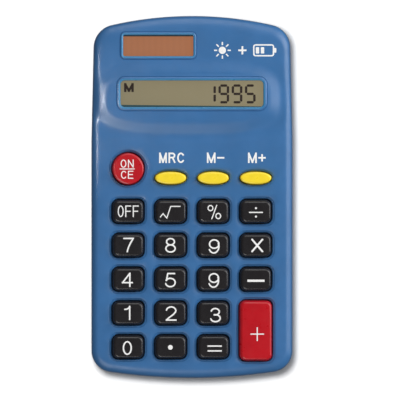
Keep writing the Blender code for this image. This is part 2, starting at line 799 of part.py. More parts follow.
def make_battery_door():
    """A flat door with a half-round hinge edge and two tabs that hook inside the case."""
    hinge = door_hinge()
    half = DOOR_THICKNESS / 2
    length = BAY_HIGH_Y - DOOR_GAP - hinge[1]
    hinge_edge = arc((0.0, 0.0), half, math.pi / 2, 3 * math.pi / 2, HINGE_EDGE_STEPS)
    plate = bmesh.new()
    reach = BAY_HALF_WIDTH - DOOR_GAP
    sideways_prism(plate, hinge_edge + [(length, -half), (length, half)], -reach, reach)
    door = make_part("battery_door", plate, "blue_plastic", hinge)
    grips = bmesh.new()
    for number in range(DOOR_GRIP_COUNT):
        y = length - (number + 1) * DOOR_GRIP_PITCH
        bottom = (y + DOOR_GRIP_PITCH / 4, DOOR_GRIP_DEPTH - half)
        mouth_z = -half - DOOR_GRIP_DEPTH / 2
        groove = ((y, mouth_z), (y + DOOR_GRIP_PITCH / 2, mouth_z), bottom)
        sideways_prism(grips, groove, -NOTCH_HALF_WIDTH, NOTCH_HALF_WIDTH)
    combine(door, "battery_door_grips", grips, "DIFFERENCE", door.location)
    tabs = bmesh.new()
    lift = REAR_FLOOR + REST_GAP - hinge[2]
    for side in (-1, 1):
        middle = side * DOOR_TAB_OFFSET
        hook = (
            (DOOR_TAB_ROOT[1], half - DOOR_TAB_SINK),
            (DOOR_TAB_ROOT[1], lift + DOOR_TAB_THICKNESS),
            (-DOOR_TAB_REACH, lift + DOOR_TAB_THICKNESS),
            (-DOOR_TAB_REACH, lift),
            (DOOR_TAB_ROOT[0], lift),
            (DOOR_TAB_ROOT[0], half - DOOR_TAB_SINK),
        )
        sideways_prism(tabs, hook, middle - DOOR_TAB_WIDTH / 2, middle + DOOR_TAB_WIDTH / 2)
    combine(door, "battery_door_tabs", tabs, "UNION", door.location)


def make_button_cell():
    """A can with a smaller cap that faces the inside of the case."""
    mesh = bmesh.new()
    step_z = CELL_TOP - CELL_CAP_HEIGHT
    steps = (
        (CELL_RADIUS, CELL_BOTTOM),
        (CELL_RADIUS, step_z),
        (CELL_CAP_RADIUS, step_z),
        (CELL_CAP_RADIUS - CELL_CAP_SLOPE, CELL_TOP),
    )
    loft(mesh, [at_height(circle(CELL_CENTRE, radius, FINE_COUNT), z) for radius, z in steps])
    make_part("button_cell", mesh, "nickel_steel")


def strip_profile(path):
    """A bent strip's closed profile: a path in y and z, thickened upwards and inwards."""
    offset = []
    for index, (y, z) in enumerate(path):
        before = path[max(index - 1, 0)]
        after = path[min(index + 1, len(path) - 1)]
        run_y, run_z = after[0] - before[0], after[1] - before[1]
        size = math.hypot(run_y, run_z)
        offset.append((y - CONTACT_THICKNESS * run_z / size, z + CONTACT_THICKNESS * run_y / size))
    return list(path) + offset[::-1]


def make_contacts():
    """Two spring strips that start on the board and pass over the fence into the bay."""
    board_z = BOARD_TOP + REST_GAP
    touch_z = CELL_TOP + REST_GAP
    low_x, high_x = (CELL_CENTRE[0] + offset for offset in CAP_CONTACT_SIDES)
    cap_path = (
        (CONTACT_START_Y, board_z),
        (BAY_FENCE_Y[1], board_z),
        (CELL_CENTRE[1] - CAP_CONTACT_REACH, touch_z),
        (CELL_CENTRE[1] + CAP_CONTACT_REACH, touch_z),
        (CELL_CENTRE[1] + 2 * CAP_CONTACT_REACH, touch_z + REST_GAP),
    )
    negative = bmesh.new()
    sideways_prism(negative, strip_profile(cap_path), low_x, high_x)
    make_part("battery_contact_negative", negative, "spring_steel")
    low_x, high_x = (CELL_CENTRE[0] + offset for offset in RIM_CONTACT_SIDES)
    rim_y = CELL_CENTRE[1] - math.sqrt(CELL_RADIUS ** 2 - RIM_CONTACT_SIDES[0] ** 2)
    rim_path = (
        (CONTACT_START_Y, board_z),
        (BAY_FENCE_Y[1] + REST_GAP, board_z),
        (rim_y - 2 * RIM_CONTACT_GAP, board_z - RIM_CONTACT_BEND),
        (rim_y - RIM_CONTACT_GAP, (CELL_BOTTOM + CELL_TOP) / 2),
        (rim_y - 1.5 * RIM_CONTACT_GAP, CELL_BOTTOM + RIM_CONTACT_BEND),
    )
    positive = bmesh.new()
    sideways_prism(positive, strip_profile(rim_path), low_x, high_x)
    make_part("battery_contact_positive", positive, "spring_steel")


# ---- board, membrane and small parts ----

def make_circuit_board():
    """A flat board with a hole for every post that passes it."""
    mesh = bmesh.new()
    low = (-BOARD_HALF_WIDTH, BOARD_LOW_Y, BOARD_BOTTOM)
    high = (BOARD_HALF_WIDTH, BOARD_HIGH_Y, BOARD_TOP)
    box(mesh, low, high)
    board = make_part("circuit_board", mesh, "board_laminate")
    holes = bmesh.new()
    for place_xy in board_screw_places():
        hole = circle(place_xy, BOARD_SCREW_RADIUS + POST_HOLE_GAP)
        prism(holes, hole, BOARD_BOTTOM - CUTTER_REACH, BOARD_TOP + CUTTER_REACH)
    combine(board, "circuit_board_holes", holes, "DIFFERENCE")


def make_keypad_membrane():
    """One rubber sheet with a dome under every key and a hole for every post."""
    top = membrane_top()
    base = top - MEMBRANE_THICKNESS
    mesh = bmesh.new()
    box(mesh, (-BOARD_HALF_WIDTH, BOARD_LOW_Y, base), (BOARD_HALF_WIDTH, MEMBRANE_HIGH_Y, top))
    membrane = make_part("keypad_membrane", mesh, "grey_silicone")
    domes = bmesh.new()
    for _, _, centre in key_places():
        foot = at_height(circle(centre, DOME_FOOT_RADIUS, COARSE_COUNT), top - MEMBRANE_THICKNESS / 2)
        head = at_height(circle(centre, DOME_HEAD_RADIUS, COARSE_COUNT), dome_top())
        loft(domes, [foot, head])
    combine(membrane, "keypad_membrane_domes", domes, "UNION")
    holes = bmesh.new()
    for place_xy in board_post_places():
        hole = circle(place_xy, FRONT_POST_RADIUS + POST_HOLE_GAP)
        prism(holes, hole, base - CUTTER_REACH, top + CUTTER_REACH)
    combine(membrane, "keypad_membrane_holes", holes, "DIFFERENCE")


def make_chip_cap():
    """A low drop of epoxy over the chip, under the board."""
    mesh = bmesh.new()
    top = BOARD_BOTTOM - REST_GAP
    rings = []
    for step in range(CHIP_CAP_STEPS):
        angle = math.pi / 2 * step / CHIP_CAP_STEPS
        outline = circle((0.0, CHIP_CAP_Y), CHIP_CAP_RADIUS * math.cos(angle))
        rings.append(at_height(outline, top - CHIP_CAP_DROP * math.sin(angle)))
    loft(mesh, rings)
    make_part("chip_cap", mesh, "black_epoxy")


def tube(mesh, path, radius):
    """A tube along a path that runs mostly along -Y, as upright rings."""
    rings = []
    for x, y, z in path:
        ring = []
        for across, up in circle((0.0, 0.0), radius, COARSE_COUNT):
            ring.append((x + across, y, z + up))
        rings.append(ring)
    loft(mesh, rings)


def solar_wire_path(x):
    """A wire's sagging run from the cell's back to a little way over the board's top edge."""
    start_y, end_y = SOLAR_CENTRE[1], BOARD_HIGH_Y - WIRE_OVER_BOARD
    start_z = LCD_BOTTOM - WIRE_BELOW_CELL
    end_z = BOARD_TOP + WIRE_ABOVE_BOARD
    path = []
    for step in range(WIRE_STEPS + 1):
        share = step / WIRE_STEPS
        sag = WIRE_SAG * math.sin(math.pi * min(share * WIRE_SAG_PULL, 1.0))
        path.append((x, start_y + (end_y - start_y) * share, start_z + (end_z - start_z) * share - sag))
    return path


def make_solar_wires():
    """Two insulated wires from the back of the solar cell to the board's top edge."""
    for name, offset, finish in SOLAR_WIRES:
        mesh = bmesh.new()
        tube(mesh, solar_wire_path(SOLAR_CENTRE[0] + offset), WIRE_RADIUS)
        make_part(name, mesh, finish)


def capacitor_lead_profile():
    """A lead's closed profile in y and z: out of the can, down, and flat over the board."""
    can_y, can_z = CAPACITOR_CENTRE[1], CAPACITOR_CENTRE[2]
    board_z = BOARD_TOP + REST_GAP * 2.5
    under = (
        (can_y + LEAD_SIZE, can_z + LEAD_SIZE),
        (can_y - 2.4 * LEAD_SIZE, can_z + LEAD_SIZE),
        (BOARD_HIGH_Y + LEAD_SIZE, board_z),
        (BOARD_HIGH_Y - LEAD_REACH, board_z),
    )
    over = (
        (BOARD_HIGH_Y - LEAD_REACH, board_z + LEAD_SIZE),
        (BOARD_HIGH_Y + 1.4 * LEAD_SIZE, board_z + LEAD_SIZE),
        (can_y - 2 * LEAD_SIZE, can_z + 2 * LEAD_SIZE),
        (can_y + LEAD_SIZE, can_z + 2 * LEAD_SIZE),
    )
    return under + over


def make_capacitor():
    """A small can lying beyond the board's edge, with two leads that reach over it."""
    can_x, can_y, can_z = CAPACITOR_CENTRE
    inner = CAPACITOR_RADIUS - CAPACITOR_CHAMFER
    steps = (
        (inner, 0.0),
        (CAPACITOR_RADIUS, CAPACITOR_CHAMFER),
        (CAPACITOR_RADIUS, CAPACITOR_LENGTH - CAPACITOR_CHAMFER),
        (inner, CAPACITOR_LENGTH),
    )
    rings = []
    for radius, along in steps:
        rings.append([(x, can_y + along, z) for x, z in circle((can_x, can_z), radius)])
    mesh = bmesh.new()
    loft(mesh, rings)
    can = make_part("capacitor", mesh, "capacitor_sleeve")
    leads = bmesh.new()
    for side in (-1, 1):
        lead_x = can_x + side * LEAD_OFFSET
        sideways_prism(leads, capacitor_lead_profile(), lead_x - LEAD_SIZE / 2, lead_x + LEAD_SIZE / 2)
    combine(can, "capacitor_leads", leads, "UNION")


# ---- display and solar cell ----

def plate(name, finish, centre, size, low, high, corner=PLATE_CORNER):
    """A flat plate with small round corners."""
    mesh = bmesh.new()
    prism(mesh, rounded_rectangle(centre, size, corner), low, high)
    return make_part(name, mesh, finish)


def grown(size, spare_x, spare_y):
    """A size with something added to, or taken from, its width and its height."""
    return (size[0] + spare_x, size[1] + spare_y)


def make_windows():
    """Clear plates that lie in the pockets behind the front shell's two openings."""
    for name, centre, pocket, ceiling, thickness in (
        ("display_window", DISPLAY_CENTRE, DISPLAY_POCKET, DISPLAY_POCKET_CEILING, DISPLAY_WINDOW_THICKNESS),
        ("solar_window", SOLAR_CENTRE, SOLAR_POCKET, SOLAR_POCKET_CEILING, SOLAR_WINDOW_THICKNESS),
    ):
        top = ceiling - REST_GAP
        size = grown(pocket, -POCKET_SPARE, -POCKET_SPARE)
        plate(name, "clear_plastic", centre, size, top - thickness, top)


def make_solar_cell():
    """A glass strip coated with silicon, under its window."""
    top = SOLAR_POCKET_CEILING - 2 * REST_GAP - SOLAR_WINDOW_THICKNESS
    size = grown(SOLAR_OPENING, SOLAR_CELL_SPARE, SOLAR_CELL_SPARE)
    low = top - SOLAR_CELL_THICKNESS
    plate("solar_cell", "amorphous_silicon", SOLAR_CENTRE, size, low, top, GLASS_CORNER)


def make_lcd_layers():
    """The glass, the polariser on it and the reflector behind its viewing area."""
    plate("lcd_panel", "lcd_glass", DISPLAY_CENTRE, LCD_SIZE, LCD_BOTTOM, LCD_TOP, GLASS_CORNER)
    film = grown(LCD_SIZE, -LCD_EDGE[0], -LCD_EDGE[1])
    low = LCD_TOP + FILM_GAP
    high = low + FILM_THICKNESS
    plate("lcd_polariser", "polariser_film", DISPLAY_CENTRE, film, low, high, GLASS_CORNER)
    reflector = grown(LCD_SIZE, -LCD_EDGE[0], -ZEBRA_HEIGHT - REFLECTOR_SPARE)
    centre = (DISPLAY_CENTRE[0], DISPLAY_CENTRE[1] + (ZEBRA_HEIGHT + ZEBRA_SIDE_SPARE) / 2)
    high = LCD_BOTTOM - FILM_GAP
    low = high - FILM_THICKNESS
    plate("lcd_reflector", "reflector_film", centre, reflector, low, high, GLASS_CORNER)


def make_zebra_strip():
    """The elastomer strip that joins the display's lower edge to the board."""
    x, y = DISPLAY_CENTRE
    reach = LCD_SIZE[0] / 2 - ZEBRA_END_SPARE
    low_y = y - LCD_SIZE[1] / 2 + ZEBRA_SIDE_SPARE
    high_y = low_y + ZEBRA_HEIGHT
    mesh = bmesh.new()
    box(mesh, (x - reach, low_y, BOARD_TOP + REST_GAP), (x + reach, high_y, LCD_BOTTOM - REST_GAP))
    make_part("zebra_strip", mesh, "pink_elastomer")


def make_lcd_frame():
    """The white frame round the display's edge."""
    outer = rounded_rectangle(DISPLAY_CENTRE, grown(LCD_SIZE, *LCD_FRAME_SPARE), LCD_FRAME_CORNER)
    inner = rounded_rectangle(DISPLAY_CENTRE, grown(LCD_SIZE, LCD_FRAME_GAP, LCD_FRAME_GAP), GLASS_CORNER)
    mesh = bmesh.new()
    ring_of_walls(mesh, outer, inner, LCD_BOTTOM - LCD_FRAME_DROP, LCD_TOP + REST_GAP)
    make_part("lcd_frame", mesh, "white_plastic")


def ring_of_walls(mesh, outer, inner, low, high):
    """A frame: the space between two matching outlines, between two heights."""
    rings = [at_height(outer, low), at_height(outer, high), at_height(inner, high), at_height(inner, low)]
    loops = [[mesh.verts.new([value * MM for value in point]) for point in ring] for ring in rings]
    for first, second in zip(loops, loops[1:] + loops[:1]):
        for index in range(len(first)):
            following = (index + 1) % len(first)
            mesh.faces.new((first[index], first[following], second[following], second[index]))
    bmesh.ops.recalc_face_normals(mesh, faces=mesh.faces[:])


# ---- screws and feet ----

def screw_mesh(name, head_radius, head, shank_radius, tip):
    """A pan-head screw standing head down, its thread as a plain shank."""
    mesh = bmesh.new()
    steps = (
        (head_radius * SCREW_CROWN_SHARE, head[0]),
        (head_radius, head[0] + SCREW_CROWN_HEIGHT),
        (head_radius, head[1]),
        (shank_radius, head[1]),
        (shank_radius, tip - SCREW_POINT_LENGTH),
        (shank_radius * SCREW_POINT_SHARE, tip),
    )
    loft(mesh, [at_height(circle((0.0, 0.0), radius), z) for radius, z in steps])
    return make_mesh(name, mesh, "screw_steel")


def make_screws():
    """Four screws that close the case, and seven that hold the board."""
    case_mesh = screw_mesh(
        "case_screw", CASE_SCREW_HEAD_RADIUS, CASE_SCREW_HEAD, CASE_SCREW_RADIUS, CASE_SCREW_TIP)
    for name, place_xy in zip(CASE_SCREW_NAMES, CASE_SCREW_PLACES):
        place(f"case_screw_{name}", case_mesh, (*place_xy, 0.0))
    head_top = BOARD_BOTTOM - REST_GAP
    head = (head_top - BOARD_SCREW_HEAD_HEIGHT, head_top)
    board_mesh = screw_mesh(
        "board_screw", BOARD_SCREW_HEAD_RADIUS, head, BOARD_SCREW_RADIUS, BOARD_SCREW_TIP)
    for number, place_xy in enumerate(board_screw_places(), start=1):
        place(f"board_screw_{number}", board_mesh, (*place_xy, 0.0))


def make_feet():
    """Four rubber feet in recesses of the rear shell."""
    mesh = bmesh.new()
    steps = ((FOOT_RADIUS - FOOT_CHAMFER, 0.0), (FOOT_RADIUS, FOOT_CHAMFER), (FOOT_RADIUS, FOOT_TOP))
    loft(mesh, [at_height(circle((0.0, 0.0), radius, MEDIUM_COUNT), z) for radius, z in steps])
    foot_mesh = make_mesh("foot", mesh, "foot_rubber")
    for name, place_xy in zip(FOOT_NAMES, FOOT_PLACES):
        place(f"foot_{name}", foot_mesh, (*place_xy, 0.0))


def main():
    """Build every piece of the calculator."""
    for item in list(bpy.data.objects):
        bpy.data.objects.remove(item, do_unlink=True)
    make_front_shell()
    make_rear_shell()
    make_keys()
    make_windows()
    make_solar_cell()
    make_lcd_layers()
    make_zebra_strip()
    make_lcd_frame()
    make_keypad_membrane()
    make_circuit_board()
    make_chip_cap()
    make_capacitor()
    make_solar_wires()
    make_button_cell()
    make_contacts()
    make_battery_door()
    make_screws()
    make_feet()


main()
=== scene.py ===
"""Looks of the pocket calculator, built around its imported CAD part.

Lengths are millimetres until a mesh, a light or the camera is made. The axes are the
part's own: +X is the user's right, +Y points to the display end, +Z up from the table.
"""
import json
import math

import bmesh
import bpy
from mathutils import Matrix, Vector
from mathutils.geometry import delaunay_2d_cdt

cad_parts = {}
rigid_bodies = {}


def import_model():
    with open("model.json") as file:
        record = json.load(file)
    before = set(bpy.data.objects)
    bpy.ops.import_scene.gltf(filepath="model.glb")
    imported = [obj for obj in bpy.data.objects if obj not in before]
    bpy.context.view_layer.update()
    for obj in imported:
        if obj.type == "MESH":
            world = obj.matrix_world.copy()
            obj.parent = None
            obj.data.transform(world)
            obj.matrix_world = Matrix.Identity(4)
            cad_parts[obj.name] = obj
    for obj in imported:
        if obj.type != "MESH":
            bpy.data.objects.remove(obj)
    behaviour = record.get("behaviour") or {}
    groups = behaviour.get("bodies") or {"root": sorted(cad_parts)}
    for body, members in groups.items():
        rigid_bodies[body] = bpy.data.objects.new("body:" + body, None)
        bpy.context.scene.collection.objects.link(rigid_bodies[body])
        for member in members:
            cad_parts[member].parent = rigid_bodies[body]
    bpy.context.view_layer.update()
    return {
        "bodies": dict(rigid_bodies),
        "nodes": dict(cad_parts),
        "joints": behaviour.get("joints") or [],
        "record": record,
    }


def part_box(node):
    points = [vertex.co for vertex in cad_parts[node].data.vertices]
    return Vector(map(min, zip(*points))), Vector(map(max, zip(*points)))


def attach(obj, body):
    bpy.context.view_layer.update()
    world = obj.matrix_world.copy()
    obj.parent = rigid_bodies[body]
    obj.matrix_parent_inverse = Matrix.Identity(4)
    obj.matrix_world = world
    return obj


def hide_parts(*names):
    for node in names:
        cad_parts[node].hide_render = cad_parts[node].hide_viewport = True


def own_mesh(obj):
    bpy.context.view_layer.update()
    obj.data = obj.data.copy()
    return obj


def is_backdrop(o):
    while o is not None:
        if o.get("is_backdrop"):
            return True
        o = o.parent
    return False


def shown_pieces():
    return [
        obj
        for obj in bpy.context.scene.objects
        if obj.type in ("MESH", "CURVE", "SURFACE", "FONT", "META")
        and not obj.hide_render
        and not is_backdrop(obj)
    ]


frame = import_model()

MM = 0.001

# ---- the case: plan, heights, rolled edges, and the lip where its shells meet ----

# (radius of the bowed edge, radius of its corners)
DISPLAY_END = (120.0, 7.2)
KEYPAD_END = (177.0, 6.8)
TAPER_START = 18.0
TAPER_PER_MM = 0.00072
SIDE_DRAFT = 0.25
REAR_FLOOR = 2.2
FRONT_CEILING = 9.6
KEYPAD_FACE = 11.2
FRONT_ROUND = 2.2
DISPLAY_END_ROUND = 4.5
KEYPAD_END_ROUND = 3.2
REAR_ROUND = 2.6
# (width of the rolled edge, its extra width at the display end and at the keypad end)
FRONT_ROLL = (FRONT_ROUND, DISPLAY_END_ROUND - FRONT_ROUND, KEYPAD_END_ROUND - FRONT_ROUND)
REAR_ROLL = (REAR_ROUND, 0.0, 0.0)
SEAM_CHAMFER = 0.18
SEAM_STEP = (0.2 * SEAM_CHAMFER, 1.2 * SEAM_CHAMFER)
# the lip of the rear shell stands inside the rabbet of the front shell
WALL = 1.6
LIP_HEIGHT = 0.8
LIP_OUTER = 1.05
RABBET = 0.85

# ---- pod round the display: outline, then the slope and the groove along it ----

POD_CENTRE = (-1.5, 31.6)
POD_HALF_WIDTH = 28.4
POD_HALF_HEIGHT = 10.8
POD_POWER = 3.3
POD_CORE = 0.3
POD_RISE = 1.0
# depths inside the outline where the slope starts and ends, near the keys and far from them
POD_SLOPE = (-1.2, 3.2)
POD_FAR_SLOPE = (-1.9, 4.4)
POD_FAR_Y = (30.0, 39.0)
GROOVE_MIDDLE = -2.0
GROOVE_REACH = 2.4
GROOVE_DEPTH = 0.25
GROOVE_FADE_Y = (30.0, 40.0)
POD_FINE_REACH = 4.6
ROLL_FINE_SHARE = 0.97

# ---- windows ----

# (size of the opening, width of its rim, radius of its corners)
WINDOWS = {
    "display_window": ((45.0, 8.4), 1.35, 1.3),
    "solar_window": ((22.1, 6.7), 1.15, 0.55),
}
# the rim: a groove at its outer side, then a bead that ends in a sharp edge
BEAD_GROOVE_WIDTH = 0.3
BEAD_GROOVE_START = 0.4
BEAD_GROOVE = 0.15
BEAD_RISE = 0.28
BEAD_WAVE = (0.12, 0.7)
BEAD_STEPS = 7
BEAD_EDGE = 0.14
BEAD_EDGE_STEP = (0.35, 0.2)
# (inset, height over the bead's foot) round the bead's inner edge, which is coloured lighter as a painted
# highlight
TRIM_STEPS = (
    (-0.58, 0.0), (-0.54, 0.3), (-0.36, 0.29), (-0.17, 0.21), (-0.05, 0.03), (0.02, -0.12),
    (0.02, -0.35), (-0.12, -0.4))
POCKET_SPARE = 0.6
POCKET_CORNER = 0.8
GLAZING_GAP = 0.1
# painted shadows: a dark wedge along the display's lower edge and a dark straight bar along the solar cell's
# top edge, where the rims shade them
PAINTED_SHADOW_SPARE = 0.3
SHADOW_WEDGE_HEIGHTS = (0.75, 0.25)
# height of the dark bar that paints the upper rim's shadow on the solar cell
SOLAR_SHADOW_HEIGHT = 0.4

# ---- keys ----

KEY_FLANGE = 0.6
KEY_CORNER = 1.8
CORNER_FOLLOW = 0.8
OVAL_POWER = 2.2
KEY_GAP = 0.3
KEY_RIM = 0.85
OVAL_RIM = 0.65
KEY_WALL = 0.9
KEY_STEM_FOOT = 7.65
KEY_SKIRT_FOOT = KEY_STEM_FOOT + 0.4
KEY_FLANGE_TOP = 9.2
KEY_ROOF_INSIDE = 11.5
KEY_TOP_SHIFT = (0.2, -0.15)
STEM_RADIUS = 1.5
OVAL_STEM_RADIUS = 0.8
# (how far in from the cap's outline, how far below its top, share of the top's shift)
KEY_EDGE_STEPS = (
    (0.0, 1.15, 0.0), (0.03, 0.9, 0.0), (0.08, 0.68, 0.05), (0.28, 0.38, 0.45), (0.38, 0.24, 0.65),
    (0.46, 0.155, 0.8), (0.62, 0.08, 1.0), (0.76, 0.018, 1.0), (0.9, 0.0, 1.0))
ROUND_EDGE_STEPS = (
    (0.0, 1.15, 0.0), (0.02, 0.5, 0.1), (0.07, 0.3, 0.25), (0.15, 0.2, 0.4), (0.3, 0.12, 0.6),
    (0.5, 0.04, 0.8), (0.62, 0.012, 0.9), (0.76, 0.0, 1.0))
# from an opening's mouth down to its neck, as shares of the rim's width: (out, down)
RIM_STEPS = (
    (0.88, 0.07), (0.72, 0.34), (0.6, 0.41), (0.46, 0.37), (0.3, 0.46), (0.15, 0.66), (0.04, 0.95),
    (0.0, 1.3))
MEMBRANE_THICKNESS = 0.6
POST_HOLE_RADIUS = 2.05
# (radius, share of the dome's rise)
DOME_STEPS = (
    (3.4, -0.12), (3.4, 0.03), (3.25, 0.12), (2.6, 0.62), (2.25, 0.9), (2.05, 0.98), (1.8, 1.0))

# ---- printed legends ----

DIGIT_STROKE = 0.46
THIN_STROKE = 0.3
# (sign, its place from the key's centre, width and height, stroke)
KEY_LEGENDS = {
    "off": [("OFF", (0.05, 0.05), (6.6, 3.65), 0.34)],
    "sqrt": [("root", (-0.1, -0.25), (6.5, 4.0), 0.32)],
    "percent": [("%", (0.37, -0.2), (4.3, 4.5), 0.34)],
    "divide": [("divide", (0.07, -0.3), (4.4, 3.3), 0.37)],
    "7": [("7", (0.17, 0.1), (3.4, 4.6), DIGIT_STROKE)],
    "8": [("8", (-0.03, 0.0), (3.4, 4.7), DIGIT_STROKE)],
    "9": [("9", (0.32, -0.35), (3.4, 4.6), DIGIT_STROKE)],
    "multiply": [("X", (0.47, -0.05), (3.8, 4.3), 0.56)],
    "4": [("4", (-0.23, -0.2), (3.5, 4.5), DIGIT_STROKE)],
    "5": [("5", (-0.03, -0.3), (3.4, 4.6), DIGIT_STROKE)],
    "6": [("9", (0.22, -0.4), (3.4, 4.7), DIGIT_STROKE)],
    "minus": [("-", (0.07, -0.5), (5.4, 0.7), 0.7)],
    "1": [("1", (-0.23, 0.05), (1.95, 4.5), DIGIT_STROKE)],
    "2": [("2", (0.17, -0.15), (3.4, 4.6), DIGIT_STROKE)],
    "3": [("3", (0.77, -0.65), (3.35, 4.6), DIGIT_STROKE)],
    "0": [("0", (-0.23, -0.35), (2.9, 4.4), DIGIT_STROKE)],
    "point": [("dot", (-0.08, -0.15), (1.5, 1.5), 0.5)],
    "equals": [("=", (0.47, -0.5), (4.5, 1.95), 0.43)],
    "plus": [("+", (0.47, -1.1), (4.3, 4.3), 0.35)],
    "on_clear": [
        ("ON", (-0.28, 1.6), (4.1, 2.55), THIN_STROKE),
        ("-", (-0.28, -0.07), (4.7, THIN_STROKE), THIN_STROKE),
        ("CE", (-0.28, -1.9), (3.9, 2.5), THIN_STROKE)],
}
# words on the case over the memory keys: (word, its place from the key's centre, width)
SHELL_LEGENDS = {
    "memory_recall": ("MRC", (0.32, 6.35), 7.9),
    "memory_minus": ("M-", (0.77, 6.35), 5.5),
    "memory_plus": ("M+", (0.37, 6.35), 5.6),
}
SHELL_LEGEND_HEIGHT = 3.3
SHELL_LEGEND_STROKE = 0.52
GLYPH_WIDTHS = {"M": 1.1, "-": 0.92, "+": 0.92}
GLYPH_GAP = 0.5
MITRE_LIMIT = 0.5
ROOT_PATH = ((0.0, 0.1), (0.13, 0.38), (0.32, 0.0), (0.52, 1.0), (1.0, 1.0))
DIVIDE_DOT = 0.9
INK_RISE = 0.03
INK_DEPTH = 0.08

# power pictograms beside the solar window: a sun, a plus sign and a battery
PICTOGRAM_Y = 46.2
SUN_X = 9.6
SUN_RADIUS = 1.15
SUN_RAYS = 8
SUN_RAY_REACH = (1.85, 2.45)
SUN_RAY_STROKE = 0.42
PLUS_X = 15.9
PLUS_SIZE = 2.6
PLUS_STROKE = 0.55
BATTERY_X = 22.6
BATTERY_SIZE = (6.2, 3.4)
BATTERY_CORNER = 0.6
BATTERY_STROKE = 0.45
# (place along the battery, size, corner) of its cap and of its two charge bars
BATTERY_FILLS = ((3.6, (0.8, 1.5), 0.25), (-1.95, (1.05, 2.0), 0.2), (-0.35, (1.05, 2.0), 0.2))

# ---- what the display shows ----

DISPLAY_TEXT = "1995"
DIGIT_SIZE = (3.35, 6.0)
DIGIT_PITCH = 4.17
LAST_DIGIT_X = 18.4
SEGMENT_WIDTH = 0.74
SEGMENT_GAP = 0.22
SEGMENT_POINT = 0.3 * SEGMENT_WIDTH
SEGMENT_TIP = 0.45
# the bars between the corners and side middles of a digit, and the bars that are on
SEGMENT_ENDS = {
    "a": ((-1, 1), (1, 1)), "b": ((1, 1), (1, 0)), "c": ((1, 0), (1, -1)),
    "d": ((-1, -1), (1, -1)), "f": ((-1, 1), (-1, 0)), "g": ((-1, 0), (1, 0))}
SEGMENTS_ON = {"1": "bc", "5": "afgcd", "9": "abcdfg"}
MEMORY_SIGN = ("M", (-19.85, 2.0), (3.05, 2.8), 0.74)

# ---- rear shell, battery bay and battery door ----

NOTCH_HALF_WIDTH = 3.5
NOTCH_DEPTH = 1.0
NOTCH_REACH = 1.4
NOTCH_RANGE = (-0.5, 1.0)
NOTCH_SIDE = 0.6
NOTCH_FINE_ZONE = (4.5, 2.5)
REAR_LIP = 0.25
REAR_LIP_STEPS = 5
POST_RADIUS = 2.7
POST_SLOPE = 0.3
POST_GAP = 0.2
WELL_RADIUS = 1.95
WELL_SEAT = 3.0
FOOT_RECESS_SPARE = 0.2
FOOT_RECESS_TOP = 1.2
FLOOR_EDGE = WALL + 0.6
FLOOR_ROOM = WALL + 0.8

BAY_WALL = 1.1
BAY_OVERLAP = 0.2
BAY_FOOT = REAR_FLOOR - 0.3
BAY_ROOF = (6.1, 6.9)
FENCE_Y = (38.2, 39.2)
FENCE_Z = (BAY_FOOT + 0.6, 5.3)
BLOCK_CHAMFER = 0.2
BLOCK_END_CORNER = 0.6
BLOCK_STEPS = 2

DOOR_GAP = 0.2
DOOR_CORNER = 0.5
DOOR_THICKNESS = 1.4
DOOR_EDGE = 0.3
DOOR_PITCH_X = 0.5
DOOR_PITCH_Y = 0.1
GRIP_COUNT = 4
GRIP_PITCH = 1.6
GRIP_DEPTH = 0.35
GRIP_FADE = 0.5
GRIP_FROM_EDGE = GRIP_COUNT + 0.75
TAB_WIDTH = 2.4
TAB_OFFSET = 3.6
TAB_CHAMFER = 0.15
TAB_ROOT = 0.8
TAB_START = 0.7 * DOOR_THICKNESS / 2
TAB_THICKNESS = 0.5

# ---- screws, feet and the cell ----

SCREW_HEAD = 1.4
SCREW_FACETS = 40
SCREW_GRID = 26
# shares of the head's radius: its flat face, the points on it, the shank and its tip
SCREW_FACE = 0.86
SCREW_FACE_POINTS = 0.82
SCREW_SHANK = 0.54
SCREW_TIP = 0.25
SCREW_DOME = 0.3
# where the head's rolled edge starts over its lowest point, how far it rises, and its steps
SCREW_EDGE = (0.22, 0.35)
SCREW_EDGE_STEPS = 4
SCREW_THREADS = 8
SCREW_THREAD_ROOT = 0.82
SCREW_TIP_LENGTH = 0.7
# driver recess; its reach is a share of the head's radius
RECESS_WIDTH = 0.5
RECESS_REACH = 0.72
RECESS_DEPTH = 0.55
RECESS_SIDE = 0.12
RECESS_END = 0.3
# (share of the foot's radius, then millimetres added to it, height over its sole)
FOOT_STEPS = (
    (0.2, 0.0, 0.1), (0.42, 0.0, 0.1), (0.5, 0.0, 0.04), (0.56, 0.0, 0.0), (1.0, -0.35, 0.0),
    (1.0, -0.15, 0.05), (1.0, -0.04, 0.16), (1.0, 0.0, 0.32))
CELL_FACETS = 64
CELL_GRID = 34
# shares of the cell's radius: its sole, the points on it and its shallow disc
CELL_SOLE = 0.93
CELL_SOLE_POINTS = 0.9
CELL_DISC = 0.78
CELL_DISC_EDGE = 0.3
CELL_DISC_DEPTH = 0.05
# half the width and half the length of the plus sign's bars
CELL_PLUS = (0.35, 1.7)
CELL_PLUS_EDGE = 0.15
CELL_PLUS_DEPTH = 0.08
# (share of the cell's radius, height over its sole), up to the top of the smaller cap
CELL_STEPS = (
    (0.96, 0.03), (0.985, 0.12), (1.0, 0.35), (1.0, 2.35), (0.98, 2.5), (0.93, 2.56), (0.88, 2.5),
    (0.86, 2.4), (0.84, 2.5), (0.83, 2.8), (0.8, 2.98))
CELL_CAP = 0.74

# ---- facet counts and grids ----

CASE_CORNER_STEPS = 14
CASE_BOW_STEPS = 40
CASE_SIDE_STEPS = 40
ROLL_STEPS = 12
FRONT_BORDER_STEP = 5
REAR_BORDER_STEP = 6
BORDER_MARGIN = 0.1
CORNER_STEPS = 7
SMALL_CORNER_STEPS = 3
ROUND_COUNT = 48
WELL_FACETS = 36
HOLE_FACETS = 32
DOT_FACETS = 28
SMALL_DOT_FACETS = 20
EDGE_STEPS = 6
FINE_PITCH = 0.7
COARSE_PITCH = 2.4
HALVINGS = 18
SHARP_ANGLE = math.radians(38)
SAME_PLACE = 1e-6

# ---- finishes, lights and camera ----

